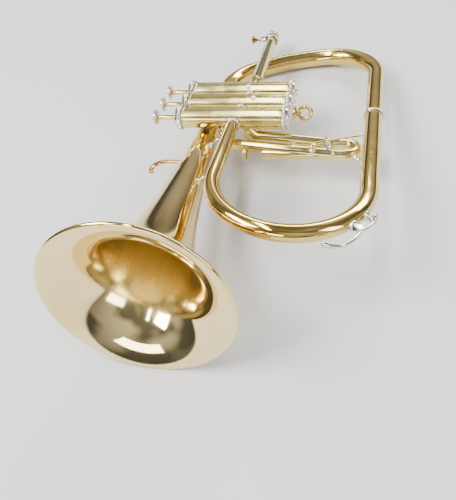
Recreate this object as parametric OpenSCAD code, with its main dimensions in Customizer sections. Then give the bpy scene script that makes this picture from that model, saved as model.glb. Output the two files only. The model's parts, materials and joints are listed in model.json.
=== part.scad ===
// Flugelhorn lying on its right-hand side, in millimetres.
// The horn is drawn in its playing position: x points out of the bell, y to the player's left and z up
// through the finger buttons, with x = 0 at the second valve and y = z = 0 on the bell's axis.
// lay_down() then turns every piece into the resting position, with the bell mouth facing -Y.

/* [Bell] */
// Diameter of the bell mouth over the rim
bell_d = 152; // [146:1:160]
// Distance of the bell mouth in front of the second valve
bell_x = 251; // [240:1:265]
// Sheet thickness of the bell
bell_wall = 0.8; // [0.5:0.1:1.2]
// Radius of the rolled rim bead
bead_r = 1.7; // [1.4:0.1:2]
// Length over which the flare opens; smaller is more sudden
flare_len = 17; // [14:0.5:20]
// Exponent of the flare
flare_power = 0.61; // [0.58:0.01:0.65]
// Radius of the bell tail where it meets the back bow
tail_r = 9.9; // [9:0.1:10.5]

/* [Valves] */
// Distance between neighbouring valves
valve_pitch = 25.6; // [25:0.1:27]
// Distance of the valves to the left of the bell's axis
valve_y = 22.5; // [22.5:0.1:24]
// Outer radius of a valve casing
casing_r = 10.2; // [10:0.1:10.4]
// Radius of the casing's bore
casing_bore_r = 8.72; // [8.7:0.01:8.74]
// Radius of a piston
piston_r = 8.65; // [8.6:0.01:8.66]
// Height of the top caps' faces above the bell's axis
cap_top_z = 27.5; // [26:0.5:30]
// Height of the bottom caps' ends
cap_bottom_z = -85.5; // [-88:0.5:-84]
// Height of the finger buttons' upper faces
button_top_z = 50; // [49:0.5:52]
// Travel of a valve
valve_travel = 16; // [14:0.5:16]
// Radius of a finger button
button_r = 7.4; // [7:0.1:8]

/* [Main tubing] */
// Height of the tube that leaves the third valve
exit_z = -31.3; // [-33:0.1:-30]
// Height of the bottom tube at its front end
bottom_z = -159.4; // [-161:0.1:-158]
// Distance of the bottom tube to the left of the bell's axis
bottom_y = 11; // [9:0.5:12]
// Place of the front bow's centre in front of the second valve
front_bow_x = 118.5; // [112:0.5:124]
// Rearmost reach of the back bow's centreline
back_bow_x = -139.5; // [-145:0.5:-136]
// Radius of the back bow's lower corner
back_corner_r = 54; // [50:1:56]
// Radius of the back bow's rear stretch
back_rear_r = 170; // [150:5:190]
// Angle that the rear stretch turns through
back_rear_turn = 27; // [24:1:30]

/* [Leadpipe] */
// Height of the leadpipe
lead_z = -39.3; // [-41:0.1:-38]
// Rear end of the leadpipe sleeve
lead_end_x = -161; // [-165:1:-155]
// Radius of the mouthpiece receiver's bore
receiver_r = 4.8; // [4.7:0.05:4.9]
// Depth of the mouthpiece receiver's bore
receiver_len = 24; // [20:1:28]

/* [Valve slides] */
// Distance of the upright slides' plane from the bell's axis
slide_y = -3.5; // [-4:0.1:-3.2]
// Distance of the third slide's rear leg in front of the second valve
third_a_x = 28.5; // [27:0.5:30]
// Distance of the third slide's front leg in front of the second valve
third_b_x = 46.5; // [45:0.5:48]
// Height of the bend centre of the third slide's crook
third_crook_z = -137; // [-137:0.5:-134]
// Height of the bend centre of the first slide's crook
first_crook_z = -71; // [-72:0.5:-70]
// Outer radius of the slides' outer tubes
outer_r = 5.7; // [5.7:0.05:5.8]
// Outer radius of the slides' inner tubes
inner_r = 5.05; // [5:0.01:5.06]

/* [Resting position] */
// Rise of the bell's axis towards the mouth, in degrees
rest_pitch = 10.38; // [8:0.01:12]
// Roll of the horn towards its bottom tube, in degrees
rest_roll = 0.6; // [0:0.1:4]
// Shift that centres the resting horn along X
rest_x = -47; // [-70:0.01:-40]
// Shift that centres the resting horn along Y
rest_y = 45.4; // [30:0.01:60]
// Shift that stands the resting horn on z = 0
rest_z = 29.87; // [20:0.01:50]

/* [Hidden] */
$fn = 64;

brass = [0.86, 0.68, 0.30];
pale_brass = [0.84, 0.76, 0.47];
nickel = [0.80, 0.80, 0.77];
copper = [0.72, 0.46, 0.22];
pearl = [0.92, 0.91, 0.86];
cork = [0.62, 0.44, 0.26];
felt = [0.35, 0.10, 0.10];
steel = [0.62, 0.63, 0.65];

seam = 0.3;       // how far a straight stretch runs into the bend that it joins
step = 0.02;      // how much thinner a straight stretch's wall is than its bend's, on each side
fit = 0.05;       // radial clearance of a running fit
tube_wall = 0.6;  // wall of the plain tubes

valve_x = [-valve_pitch, 0, valve_pitch];
casing_top_z = 24;
casing_bottom_z = -80;
top_shoulder_z = 19.8;      // where the thread for the top cap starts
bottom_shoulder_z = -77.2;  // where the thread for the bottom cap starts
thread_depth = 0.7;
cup_floor_z = -82.6;        // inside of the bottom cap, which the spring stands on
piston_top_z = 21.6;
piston_bottom_z = -58;
stem_r = 2.4;
button_thickness = 3.6;
cap_r = 12;
windway_r = 4.5;
slide_way_r = 3;  // narrower passages to the valve slides
outer_bore_r = inner_r + fit;
inner_bore_r = inner_r - 0.5;
elbow_r = 9;

// Heights of the passages between the valves
knuckle_z = [lead_z, (lead_z + exit_z) / 2];

first_a_x = -39;
first_b_x = -23;
first_a_z = -46;
first_b_z = -32;
second_z = [-34, -50];
second_crook_y = -6;
third_a_z = -41;
third_b_z = -20;
third_sleeve_z = -87;   // upper end of the rear leg's sliding sleeve
third_outer_z = -126.5;   // lower end of the front leg's outer tube
third_ferrule_z = -41;

// Ports of each casing as [azimuth, height]
ports = [
    [[180, lead_z], [0, knuckle_z[0]], [azimuth(0, first_a_x), first_a_z], [azimuth(0, first_b_x),
        first_b_z]],
    [[180, knuckle_z[0]], [0, knuckle_z[1]], [-90, second_z[0]], [-90, second_z[1]]],
    [[180, knuckle_z[1]], [0, exit_z], [azimuth(2, third_a_x), third_a_z], [azimuth(2, third_b_x),
        third_b_z]]];

// Guide screws as [azimuth, height], one to a casing
guides = [[57, -36], [65, -46], [235, -42]];
guide_r = 1;

// Main tubing radii, growing from the third valve to the bell
exit_r = [6.0, 6.7];
bottom_r = [7.9, 8.5];
bow_r = (exit_z - bottom_z) / 2;
bow_z = (exit_z + bottom_z) / 2;
exit_y = valve_y - 0.5;
bow_slope = (exit_y - bottom_y) / (exit_z - bottom_z);
back_corner_x = back_bow_x + back_corner_r;
back_bottom_z = bottom_z - 1.1;
back_corner_z = back_bottom_z + back_corner_r;
back_slope = bottom_y / back_bottom_z;
rear_centre_x = back_bow_x + back_rear_r;
top_start_x = rear_centre_x - back_rear_r * cos(back_rear_turn);
top_start_z = back_corner_z + back_rear_r * sin(back_rear_turn);
top_r = -top_start_z / (1 - sin(back_rear_turn));
tail_x = top_start_x + top_r * cos(back_rear_turn);
sweep_sides = 24;

sleeve_r = 6.2;
mouthpipe_r = 5.55;
lead_y = valve_y;
screw_x = lead_end_x + 5;

// ---------- helpers ----------

function azimuth(i, x) = atan2(slide_y - valve_y, x - valve_x[i]);
function blend(a, b, t) = a + (b - a) * t;
function smooth(t) = let (s = min(1, max(0, t))) s * s * (3 - 2 * s);
function unit(v) = v / norm(v);
function turned(az) = [cos(az), sin(az), 0];
function bow_y(z) = exit_y + (z - exit_z) * bow_slope;

// From the playing position to the resting one
module lay_down() {
    translate([rest_x, rest_y, rest_z]) rotate([-rest_pitch, rest_roll, 0]) rotate([90, 0, -90]) children();
}

// Places a child drawn along +Z so that it runs from p towards q
module along(p, q) {
    d = q - p;
    translate(p) rotate([0, acos(d[2] / norm(d)), atan2(d[1], d[0])]) children();
}

// Solid round bar or cone from p to q
module bar(p, q, r1, r2 = -1) {
    along(p, q) cylinder(h = norm(q - p), r1 = r1, r2 = r2 < 0 ? r1 : r2);
}

// Straight round tube from p to q
module tube(p, q, ro, ri) {
    difference() {
        bar(p, q, ro);
        bar(p - unit(q - p), q + unit(q - p), ri);
    }
}

// Frame whose first axis is u and whose third axis is n, at point c
module frame_at(c, u, n) {
    v = cross(n, u);
    multmatrix([[u[0], v[0], n[0], c[0]], [u[1], v[1], n[1], c[1]], [u[2], v[2], n[2], c[2]], [0, 0, 0, 1]])
        children();
}

// Quarter or other bend at corner c, arriving along d1 and leaving along d2, with radii ro and ri
module bend(c, d1, d2, r, ro, ri) {
    turn = acos(d1 * d2);
    back = r * tan(turn / 2);
    n = unit(cross(d1, d2));
    centre = c - d1 * back + cross(n, d1) * r;
    frame_at(centre, -cross(n, d1), n) rotate_extrude(angle = turn) translate([r, 0]) difference() {
        circle(ro);
        if (ri > 0) circle(ri);
    }
}

// Tube through the corners in pts, with every corner bent at radius r; ri = 0 makes a solid bar
module pipe(pts, r, ro, ri) {
    last = len(pts) - 1;
    dirs = [for (i = [0:last - 1]) unit(pts[i + 1] - pts[i])];
    cuts = [for (i = [0:last]) i == 0 || i == last ? 0 : r * tan(acos(dirs[i - 1] * dirs[i]) / 2) - seam];
    union() {
        for (i = [0:last - 1]) {
            p = pts[i] + dirs[i] * cuts[i];
            q = pts[i + 1] - dirs[i] * cuts[i + 1];
            if (ri > 0) tube(p, q, ro - step, ri + step);
            else bar(p, q, ro - step);
        }
        for (i = [1:1:last - 1]) bend(pts[i], dirs[i - 1], dirs[i], r, ro, ri);
    }
}

// Solid rod through the points in pts, with round joints
module rod(pts, r) {
    for (i = [0:len(pts) - 2]) bar(pts[i], pts[i + 1], r);
    for (p = pts) translate(p) sphere(r + 0.1, $fn = 32);
}

// Half-circle crook between legs at x1 and x2, bent about y = y0 at height z
module crook(x1, x2, y0, z, ro, ri) {
    frame_at([(x1 + x2) / 2, y0, z], [-1, 0, 0], [0, -1, 0]) rotate_extrude(angle = 180)
        translate([(x2 - x1) / 2, 0]) difference() {
            circle(ro);
            circle(ri);
        }
}

// Everything inside a valve casing's outer surface
module casing_space(i, extra = 0.01) {
    translate([valve_x[i], valve_y, casing_bottom_z - 20])
        cylinder(h = casing_top_z - casing_bottom_z + 40, r = casing_r + extra);
}

// Point at radius r from valve i's axis
function valve_point(i, az, r, z) = [valve_x[i], valve_y, z] + r * turned(az);

// Tapered hollow sweep along points in a plane with normal n, starting and ending along the two
// directions in ends
module tapered_sweep(points, n, radii, wall, ends) {
    last = len(points) - 1;
    tangents = [for (i = [0:last])
        i == 0 ? ends[0] : i == last ? ends[1] : unit(points[i + 1] - points[i - 1])];
    rings = [for (side = [0, 1]) for (i = [0:last]) for (k = [0:sweep_sides - 1])
        let (a = 360 * k / sweep_sides, r = blend(radii[0], radii[1], i / last) - side * wall)
        points[i] + r * (cos(a) * cross(n, tangents[i]) + sin(a) * n)];
    inner = (last + 1) * sweep_sides;
    faces = [
        for (i = [0:last - 1]) for (k = [0:sweep_sides - 1])
            let (a = i * sweep_sides + k, b = i * sweep_sides + (k + 1) % sweep_sides)
            each [[a, b, b + sweep_sides], [a, b + sweep_sides, a + sweep_sides],
                [inner + b, inner + a, inner + a + sweep_sides],
                [inner + b, inner + a + sweep_sides, inner + b + sweep_sides]],
        for (k = [0:sweep_sides - 1])
            let (a = k, b = (k + 1) % sweep_sides, e = last * sweep_sides)
            each [[b, a, inner + a], [b, inner + a, inner + b],
                [e + a, e + b, e + inner + b], [e + a, e + inner + b, e + inner + a]]];
    polyhedron(rings, faces);
}

// ---------- bell ----------

sheet_x = bell_x - 0.6;
sheet_r = bell_d / 2 - bead_r - 0.9;
throat_len = 225;       // distance behind the mouth at which the flare becomes the plain tail
throat_draw = 3.3;      // how far the throat is drawn in below the pure flare curve
function flare_r(b) = sheet_r * pow(flare_len / (flare_len + b), flare_power)
    - throat_draw * smooth((b - 60) / (throat_len - 60));
function bell_r(b) = b <= throat_len ? flare_r(b)
    : blend(flare_r(throat_len), tail_r, (b - throat_len) / (sheet_x - tail_x - throat_len));
function bell_normal(b) = unit([bell_r(b) - bell_r(b + 0.5), 0.5]);
bell_steps = 34;
bell_b = [for (i = [0:bell_steps]) (sheet_x - tail_x) * pow(i / bell_steps, 2)];

module bell() color(brass) lay_down() rotate([0, 90, 0]) union() {
    rotate_extrude($fn = 128) polygon(concat(
        [for (b = bell_b) [bell_r(b), sheet_x - b]],
        [for (i = [bell_steps:-1:0]) let (b = bell_b[i], n = bell_normal(b))
            [bell_r(b) - bell_wall * n[1], sheet_x - b + (i == bell_steps ? 0 : bell_wall * n[0])]]));
    // rolled rim round its wire
    rotate_extrude($fn = 128) translate([bell_d / 2 - bead_r, bell_x - bead_r]) difference() {
        circle(bead_r, $fn = 32);
        circle(bead_r - tube_wall, $fn = 32);
    }
}

module bell_rim_wire() color(steel) lay_down() rotate([0, 90, 0]) rotate_extrude($fn = 128)
    translate([bell_d / 2 - bead_r, bell_x - bead_r]) circle(bead_r - tube_wall - fit, $fn = 24);

// ---------- main tubing ----------

bow_steps = 26;
front_points = [for (i = [0:bow_steps]) let (a = 90 - 180 * i / bow_steps, z = bow_z + bow_r * sin(a))
    [front_bow_x + bow_r * cos(a), bow_y(z), z]];

module front_bow() color(brass) lay_down()
    tapered_sweep(front_points, unit([0, 1, -bow_slope]), [exit_r[1], bottom_r[0]], tube_wall,
        [[1, 0, 0], [-1, 0, 0]]);

corner_steps = 14;
rear_steps = 10;
top_steps = 12;
function back_point(x, z) = [x, z * back_slope, z];
back_points = concat(
    [for (i = [0:corner_steps]) let (a = 270 - 90 * i / corner_steps)
        back_point(back_corner_x + back_corner_r * cos(a), back_corner_z + back_corner_r * sin(a))],
    [for (i = [1:rear_steps]) let (a = 180 - back_rear_turn * i / rear_steps)
        back_point(rear_centre_x + back_rear_r * cos(a), back_corner_z + back_rear_r * sin(a))],
    [for (i = [1:top_steps]) let (a = 180 - back_rear_turn - (90 - back_rear_turn) * i / top_steps)
        back_point(tail_x + top_r * cos(a), -top_r + top_r * sin(a))]);

module back_bow() color(brass) lay_down()
    tapered_sweep(back_points, unit([0, 1, -back_slope]), [bottom_r[1], tail_r], tube_wall,
        [[-1, 0, 0], [1, 0, 0]]);

module taper_tube(p, q, r1, r2) {
    d = unit(q - p);
    difference() {
        bar(p, q, r1, r2);
        bar(p - d, q + d, r1 - tube_wall, r2 - tube_wall);
    }
}

module bottom_tube() color(brass) lay_down()
    taper_tube([front_bow_x, bottom_y, bottom_z], [back_corner_x, bottom_y, back_bottom_z],
        bottom_r[0], bottom_r[1]);

module valve_exit_tube() color(brass) lay_down() difference() {
    taper_tube([valve_x[2] + casing_r - 1, exit_y, exit_z], [front_bow_x, exit_y, exit_z], exit_r[0],
        exit_r[1]);
    casing_space(2);
}

// Ring round a tube, from x1 to x2, with a rounded outside
module ferrule(x1, x2, y, z, r, proud) {
    translate([x1, y, z]) rotate([0, 90, 0]) rotate_extrude() {
        w = x2 - x1;
        polygon([[r, 0], [r + proud * 0.6, 0], [r + proud, w * 0.25], [r + proud, w * 0.75],
            [r + proud * 0.6, w], [r, w]]);
    }
}

module tube_ferrules() color(nickel) lay_down() {
    ferrule(0, 3.2, bottom_y, bottom_z - 0.6, 8.42, 1);
    ferrule(valve_x[2] + casing_r + 1.5, valve_x[2] + casing_r + 5, exit_y, exit_z, 6.2, 0.9);
    ferrule(tail_x + 0.5, tail_x + 6.5, 0, 0, tail_r + 0.12, 0.8);
}

// ---------- valves ----------

module valve_casing(i) color(pale_brass) lay_down() difference() {
    translate([valve_x[i], valve_y, 0]) rotate_extrude() polygon([
        [casing_bore_r, casing_bottom_z], [casing_r - thread_depth, casing_bottom_z],
        [casing_r - thread_depth, bottom_shoulder_z], [casing_r, bottom_shoulder_z],
        [casing_r, top_shoulder_z], [casing_r - thread_depth, top_shoulder_z],
        [casing_r - thread_depth, casing_top_z], [casing_bore_r, casing_top_z]]);
    for (port = ports[i])
        bar(valve_point(i, port[0], 5, port[1]), valve_point(i, port[0], 13, port[1]), windway_r);
    bar(valve_point(i, guides[i][0], 5, guides[i][1]), valve_point(i, guides[i][0], 13, guides[i][1]),
        guide_r);
}

module top_cap(i) color(nickel) lay_down() translate([valve_x[i], valve_y, 0]) rotate_extrude() polygon([
    [stem_r + 0.5, casing_top_z + 0.6], [casing_r - 0.66, casing_top_z + 0.6],
    [casing_r - 0.66, top_shoulder_z + 0.1], [cap_r - 1, top_shoulder_z + 0.1], [cap_r, 20.8],
    [cap_r, 23.4], [cap_r - 0.8, 24.3], [cap_r - 1.6, 26.2],
    [cap_r - 3.4, cap_top_z - 0.3], [stem_r + 2.2, cap_top_z], [stem_r + 0.5, cap_top_z - 0.5]]);

module bottom_cap(i) color(nickel) lay_down() translate([valve_x[i], valve_y, 0]) rotate_extrude() polygon([
    [0, cap_bottom_z], [2.4, cap_bottom_z], [3, cap_bottom_z + 0.9], [3.2, cap_bottom_z + 1.8],
    [cap_r - 3.6, cap_bottom_z + 1.8], [cap_r - 1.8, cap_bottom_z + 2.6], [cap_r - 1.2, cap_bottom_z + 4],
    [cap_r - 1.2, -80.4], [cap_r, -79.6], [cap_r, -78.2], [cap_r - 0.8, bottom_shoulder_z - 0.1],
    [casing_r - 0.66, bottom_shoulder_z - 0.1], [casing_r - 0.66, casing_bottom_z - 0.4],
    [casing_r - 2.2, cup_floor_z], [0, cup_floor_z]]);

module piston(i) color(nickel) lay_down() difference() {
    translate([valve_x[i], valve_y, piston_bottom_z]) cylinder(h = piston_top_z - piston_bottom_z,
        r = piston_r);
    // open passage, and the two passages that lead through the slide when the valve is down
    bar(valve_point(i, 180, 12, ports[i][0][1]), valve_point(i, 0, 12, ports[i][1][1]), windway_r);
    for (k = [0, 1]) bar(valve_point(i, ports[i][k][0], piston_r + 0.7, ports[i][k][1] + valve_travel),
        valve_point(i, ports[i][k + 2][0], piston_r + 0.7, ports[i][k + 2][1] + valve_travel), slide_way_r);
    // spring seat
    translate([valve_x[i], valve_y, piston_bottom_z - 1]) cylinder(h = 2.5, r = 7);
    // groove that the guide screw runs in
    frame_at(valve_point(i, guides[i][0], piston_r, guides[i][1]), turned(guides[i][0]), [0, 0, 1])
        translate([-1.2, -1.4, -2]) cube([3, 2.8, valve_travel + 4]);
}

module valve_stem(i) color(brass) lay_down() translate([valve_x[i], valve_y, piston_top_z])
    cylinder(h = button_top_z - button_thickness - piston_top_z, r = stem_r);

module finger_button(i) color(nickel) lay_down() translate([valve_x[i], valve_y,
    button_top_z]) rotate_extrude()
    polygon([[0, -button_thickness], [button_r - 2.4, -button_thickness], [button_r - 0.8,
        -button_thickness + 0.9],
        [button_r, -1.7], [button_r, -0.9], [button_r - 0.6, -0.2], [button_r - 1.2, -0.2],
        [button_r - 1.2, -1.4], [0, -1.4]]);

module button_pearl(i) color(pearl) lay_down() translate([valve_x[i], valve_y, button_top_z]) rotate_extrude()
    polygon([[0, -1.4], [button_r - 1.25, -1.4], [button_r - 1.25, -0.5], [button_r - 2.6, -0.1], [0, 0]]);

// Coil of the return spring as a plain sleeve between the piston's seat and the bottom cap
module valve_spring(i) color(steel) lay_down() translate([valve_x[i], valve_y, cup_floor_z])
    difference() {
        cylinder(h = piston_bottom_z + 1.5 - cup_floor_z, r = 6.6);
        translate([0, 0, -1]) cylinder(h = 50, r = 5.6);
    }

module cap_felts() color(felt) lay_down() for (x = valve_x) translate([x, valve_y, casing_top_z - 2.1])
    difference() {
        cylinder(h = 2.6, r = 7.6);
        translate([0, 0, -1]) cylinder(h = 5, r = stem_r + 0.8);
    }

module guide_screws() color(nickel) lay_down() for (i = [0:2]) {
    az = guides[i][0];
    z = guides[i][1];
    bar(valve_point(i, az, piston_r - 0.8, z), valve_point(i, az, casing_r + 0.5, z), guide_r - 0.03);
    difference() {
        union() {
            bar(valve_point(i, az, casing_r - 0.6, z), valve_point(i, az, casing_r + 1.3, z), 2.3, 2.1);
            bar(valve_point(i, az, casing_r + 1.2, z), valve_point(i, az, casing_r + 2.2, z), 1.6, 1.1);
        }
        casing_space(i);
    }
}

module valve_knuckles() color(nickel) lay_down() for (i = [0, 1]) difference() {
    tube([valve_x[i], valve_y, knuckle_z[i]], [valve_x[i + 1], valve_y, knuckle_z[i]], outer_r, windway_r);
    casing_space(i);
    casing_space(i + 1);
}

// ---------- leadpipe ----------

module leadpipe_sleeve() color(pale_brass) lay_down() {
    bore_x = -48;
    difference() {
        union() {
            bar([lead_end_x, lead_y, lead_z], [valve_x[0] - casing_r + 1, lead_y, lead_z], sleeve_r - 0.5);
            bar([lead_end_x, lead_y, lead_z], [bore_x - 4, lead_y, lead_z], sleeve_r);
        }
        bar([lead_end_x - 1, lead_y, lead_z], [bore_x, lead_y, lead_z], mouthpipe_r + fit);
        bar([bore_x - 1, lead_y, lead_z], [valve_x[0], lead_y, lead_z], windway_r);
        bar([screw_x, lead_y, lead_z], [screw_x, lead_y, lead_z + 12], 1.75);
        casing_space(0);
    }
}

module clamp_collar() color(nickel) lay_down() difference() {
    union() {
        bar([lead_end_x, lead_y, lead_z], [lead_end_x + 11, lead_y, lead_z], sleeve_r + 1.3);
        bar([lead_end_x + 2, lead_y, lead_z], [lead_end_x + 3.6, lead_y, lead_z], sleeve_r + 1.9);
        bar([screw_x, lead_y, lead_z], [screw_x, lead_y, lead_z + 13], 4, 3.4);
    }
    bar([lead_end_x - 1, lead_y, lead_z], [lead_end_x + 12, lead_y, lead_z], sleeve_r);
    bar([screw_x, lead_y, lead_z], [screw_x, lead_y, lead_z + 14], 1.65);
}

module clamp_screw() color(brass) lay_down() {
    base = [screw_x, lead_y, lead_z + mouthpipe_r + 0.3];
    up = [0, 0, 1];
    bar(base, base + 12 * up, 1.6);
    translate(base + 11.5 * up) rotate_extrude() polygon([[0, 0], [1.8, 0], [2.1, 2.4], [3.8, 3], [4.4, 3.8],
        [4.4, 5.4], [3.7, 6.3], [0, 6.5]]);
}

module mouthpipe() color(nickel) lay_down() {
    rear = lead_end_x - 6;
    front = -50;
    difference() {
        union() {
            bar([rear, lead_y, lead_z], [front, lead_y, lead_z], mouthpipe_r);
            bar([rear, lead_y, lead_z], [lead_end_x - 0.6, lead_y, lead_z], 6.6, 6.9);
        }
        bar([rear - 1, lead_y, lead_z], [rear + receiver_len, lead_y, lead_z], receiver_r);
        bar([rear + receiver_len - 0.5, lead_y, lead_z], [front + 1, lead_y, lead_z], 4.2, windway_r);
    }
}

// ---------- valve slides ----------

// Tube from a valve port out to an upright leg at [x, slide_y], bent down and ending at height z_end
module port_leg(i, x, z_port, z_end, ro, ri) {
    az = azimuth(i, x);
    difference() {
        pipe([valve_point(i, az, casing_r - 1, z_port), [x, slide_y, z_port], [x, slide_y, z_end]],
            elbow_r, ro, ri);
        casing_space(i);
    }
}

module leg_ring(x, z, h, r, proud) {
    translate([x, slide_y, z]) rotate_extrude() polygon([[r, 0], [r + proud * 0.6, 0], [r + proud, h * 0.25],
        [r + proud, h * 0.75], [r + proud * 0.6, h], [r, h]]);
}

module first_slide_tubes() color(pale_brass) lay_down() {
    end_z = first_crook_z + 2;
    port_leg(0, first_a_x, first_a_z, end_z, outer_r, outer_bore_r);
    port_leg(0, first_b_x, first_b_z, end_z, outer_r, outer_bore_r);
}

module first_slide() color(brass) lay_down() union() {
    tube([first_a_x, slide_y, first_crook_z - seam], [first_a_x, slide_y, -56], inner_r, inner_bore_r);
    tube([first_b_x, slide_y, first_crook_z - seam], [first_b_x, slide_y, -44], inner_r, inner_bore_r);
    crook(first_a_x, first_b_x, slide_y, first_crook_z, inner_r + step, inner_bore_r - step);
}

ring_r = 6.3;
ring_turn = -45;   // how far the pull ring is turned out of the slide's plane
first_mid_x = (first_a_x + first_b_x) / 2;
first_low_z = first_crook_z - (first_b_x - first_a_x) / 2 - inner_r;

module first_slide_ring() color(brass) lay_down() difference() {
    union() {
        translate([first_mid_x, slide_y, first_low_z - ring_r - 1]) rotate([90, 0, ring_turn])
            rotate_extrude()
            translate([ring_r, 0]) circle(2.1, $fn = 32);
        bar([first_mid_x, slide_y, first_low_z - 1], [first_mid_x, slide_y, first_low_z + 2], 2.6);
    }
    crook(first_a_x, first_b_x, slide_y, first_crook_z, inner_r + 0.01, 0.1);
}

module second_slide_tubes() color(pale_brass) lay_down() for (z = second_z) difference() {
    tube([0, valve_y, z], [0, second_crook_y + 2, z], outer_r, outer_bore_r);
    casing_space(1);
}

module second_slide() color(brass) lay_down() union() {
    for (z = second_z) tube([0, second_crook_y - seam, z], [0, 8, z], inner_r, inner_bore_r);
    frame_at([0, second_crook_y, (second_z[0] + second_z[1]) / 2], [0, 0, 1], [1, 0,
        0]) rotate_extrude(angle = 180)
        translate([(second_z[0] - second_z[1]) / 2, 0]) difference() {
            circle(inner_r + step);
            circle(inner_bore_r - step);
        }
}

module third_slide_tubes() color(pale_brass) lay_down() {
    // the rear leg is an inner tube, and the front leg an outer one
    port_leg(2, third_a_x, third_a_z, third_crook_z + 3, inner_r, inner_bore_r);
    port_leg(2, third_b_x, third_b_z, third_outer_z, outer_r, outer_bore_r);
    leg_ring(third_b_x, third_ferrule_z - 3, 3, outer_r - seam, 0.7);
    leg_ring(third_b_x, third_outer_z, 2, outer_r - seam, 0.6);
}

module third_slide() color(pale_brass) lay_down() union() {
    tube([third_a_x, slide_y, third_crook_z - seam], [third_a_x, slide_y, third_sleeve_z], outer_r,
        outer_bore_r);
    tube([third_b_x, slide_y, third_crook_z - seam], [third_b_x, slide_y, -58], inner_r, inner_bore_r);
    crook(third_a_x, third_b_x, slide_y, third_crook_z, outer_r + step, inner_bore_r - step);
    leg_ring(third_a_x, third_sleeve_z - 2.6, 2.6, outer_r - seam, 0.5);
}

module third_slide_knob() color(nickel) lay_down() {
    centre = [(third_a_x + third_b_x) / 2, slide_y, third_crook_z];
    out = [cos(35), 0, -sin(35)];
    reach = (third_b_x - third_a_x) / 2 + outer_r;
    difference() {
        union() {
            bar(centre + (reach - 1) * out, centre + (reach + 4) * out, 1.8);
            translate(centre + (reach + 5.6) * out) sphere(3.2);
        }
        crook(third_a_x, third_b_x, slide_y, third_crook_z, outer_r + 0.01, 0.1);
    }
}

// ---------- braces and hook ----------

function bell_r_at(x) = bell_r(sheet_x - x);

// Strut with end flanges and a centre ball, from p to q
module strut(p, q, flange1 = 3.4, flange2 = 3.2) {
    d = unit(q - p);
    bar(p, q, 1.5);
    translate((p + q) / 2) sphere(2.3, $fn = 32);
    bar(p, p + 3.2 * d, flange1, 1.6);
    bar(q - 3.2 * d, q, 1.6, flange2);
}

module body_braces() color(nickel) lay_down() {
    reach = unit([0, exit_y, exit_z]);
    // two struts between the bell and the valve exit tube
    for (x = [50, 113]) {
        r = blend(exit_r[0], exit_r[1], (x - valve_x[2]) / (front_bow_x - valve_x[2]));
        difference() {
            strut([x, 0, 0] + (bell_r_at(x) - 0.6) * reach, [x, exit_y, exit_z] - (r - 0.6) * reach);
            bar([x - 12, 0, 0], [x + 12, 0, 0], bell_r_at(x - 12) + 0.03, bell_r_at(x + 12) + 0.03);
            bar([x - 8, exit_y, exit_z], [x + 8, exit_y, exit_z], r + 0.06);
        }
    }
    // saddles between the outer casings and the bell tail
    for (i = [0, 2]) difference() {
        bar([valve_x[i], 9, 0], [valve_x[i], 15, 0], 4.5);
        casing_space(i);
        bar([valve_x[i] - 8, 0, 0], [valve_x[i] + 8, 0, 0], bell_r_at(valve_x[i] - 8) + 0.03,
            bell_r_at(valve_x[i] + 8) + 0.03);
    }
    // short post between the leadpipe sleeve and the back bow
    post_x = -127.5;
    difference() {
        bar([post_x, 8, lead_z - 1], [post_x, lead_y, lead_z - 1], 2.6);
        bar([post_x - 6, lead_y, lead_z], [post_x + 6, lead_y, lead_z], sleeve_r + 0.01);
        translate([post_x, 0, 0]) bar([-6.6, 2.1, lead_z - 13], [5.4, 3.3, lead_z + 13], 10.05);
    }
}

module finger_hook() color(copper) lay_down() {
    foot_x = 68;
    foot_r = bell_r_at(foot_x);
    arch_r = 12;
    arch_z = 28.5;
    difference() {
        union() {
            bar([foot_x, 0, foot_r - 2], [foot_x, 0, foot_r + 2.2], 5, 2.6);
            bar([foot_x, 0, foot_r], [foot_x, 0, arch_z + seam], 2.1 - step);
            frame_at([foot_x + arch_r, 0, arch_z], [-1, 0, 0], [0, 1, 0]) rotate_extrude(angle = 118)
                translate([arch_r, 0]) circle(2.1, $fn = 32);
            translate([foot_x + arch_r + arch_r * sin(28), 0, arch_z + arch_r * cos(28)]) sphere(2.3,
                $fn = 32);
        }
        bar([foot_x - 8, 0, 0], [foot_x + 8, 0, 0], bell_r_at(foot_x - 8) + 0.03,
            bell_r_at(foot_x + 8) + 0.03);
    }
}

// ---------- water keys ----------

// Main key, on the lower front corner of the front bow. Radial positions are measured from the bow's centre.
bow_centre = [front_bow_x, bow_y(bow_z), bow_z];
bow_normal = unit([0, 1, -bow_slope]);
function bow_out(a) = unit([cos(a), bow_slope * sin(a), sin(a)]);
function on_bow(a, r) = bow_centre + r * bow_out(a);
function bow_tube_r(a) = blend(exit_r[1], bottom_r[0], (90 - a) / 180);
main_pad_a = -62;
main_pivot_a = -49;
main_pivot = on_bow(main_pivot_a, bow_r + 13.5);
main_pad = on_bow(main_pad_a, bow_r + 13);

// Third slide's key, on its front leg
third_pad = [third_b_x, slide_y + outer_r + 3.4, -106.5];
third_tail = [third_a_x, slide_y + outer_r + 5, -150];
third_along = unit(third_tail - third_pad);
third_pivot = third_pad + 14 * third_along + [0, 1.4, 0];
third_axis = unit([third_along[2], 0, -third_along[0]]);
pin_r = 0.8;
key_gap = 2.1;   // half of the room between a saddle's ears
ear_wall = 1.3;
ear_r = 2.2;

// Two flat ears with a pin hole, standing on foot and reaching pin; side is the pin's direction,
// square to them
module ears(foot, pin, side) {
    reach = norm(pin - foot);
    for (s = [-1, 1]) difference() {
        union() {
            bar(pin + s * key_gap * side, pin + s * (key_gap + ear_wall) * side, ear_r);
            frame_at(foot, unit(pin - foot), side)
                translate([0, -ear_r + 0.3, s > 0 ? key_gap : -key_gap - ear_wall])
                    cube([reach, 2 * ear_r - 0.6, ear_wall]);
        }
        bar(pin - 6 * side, pin + 6 * side, pin_r);
    }
}

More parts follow.
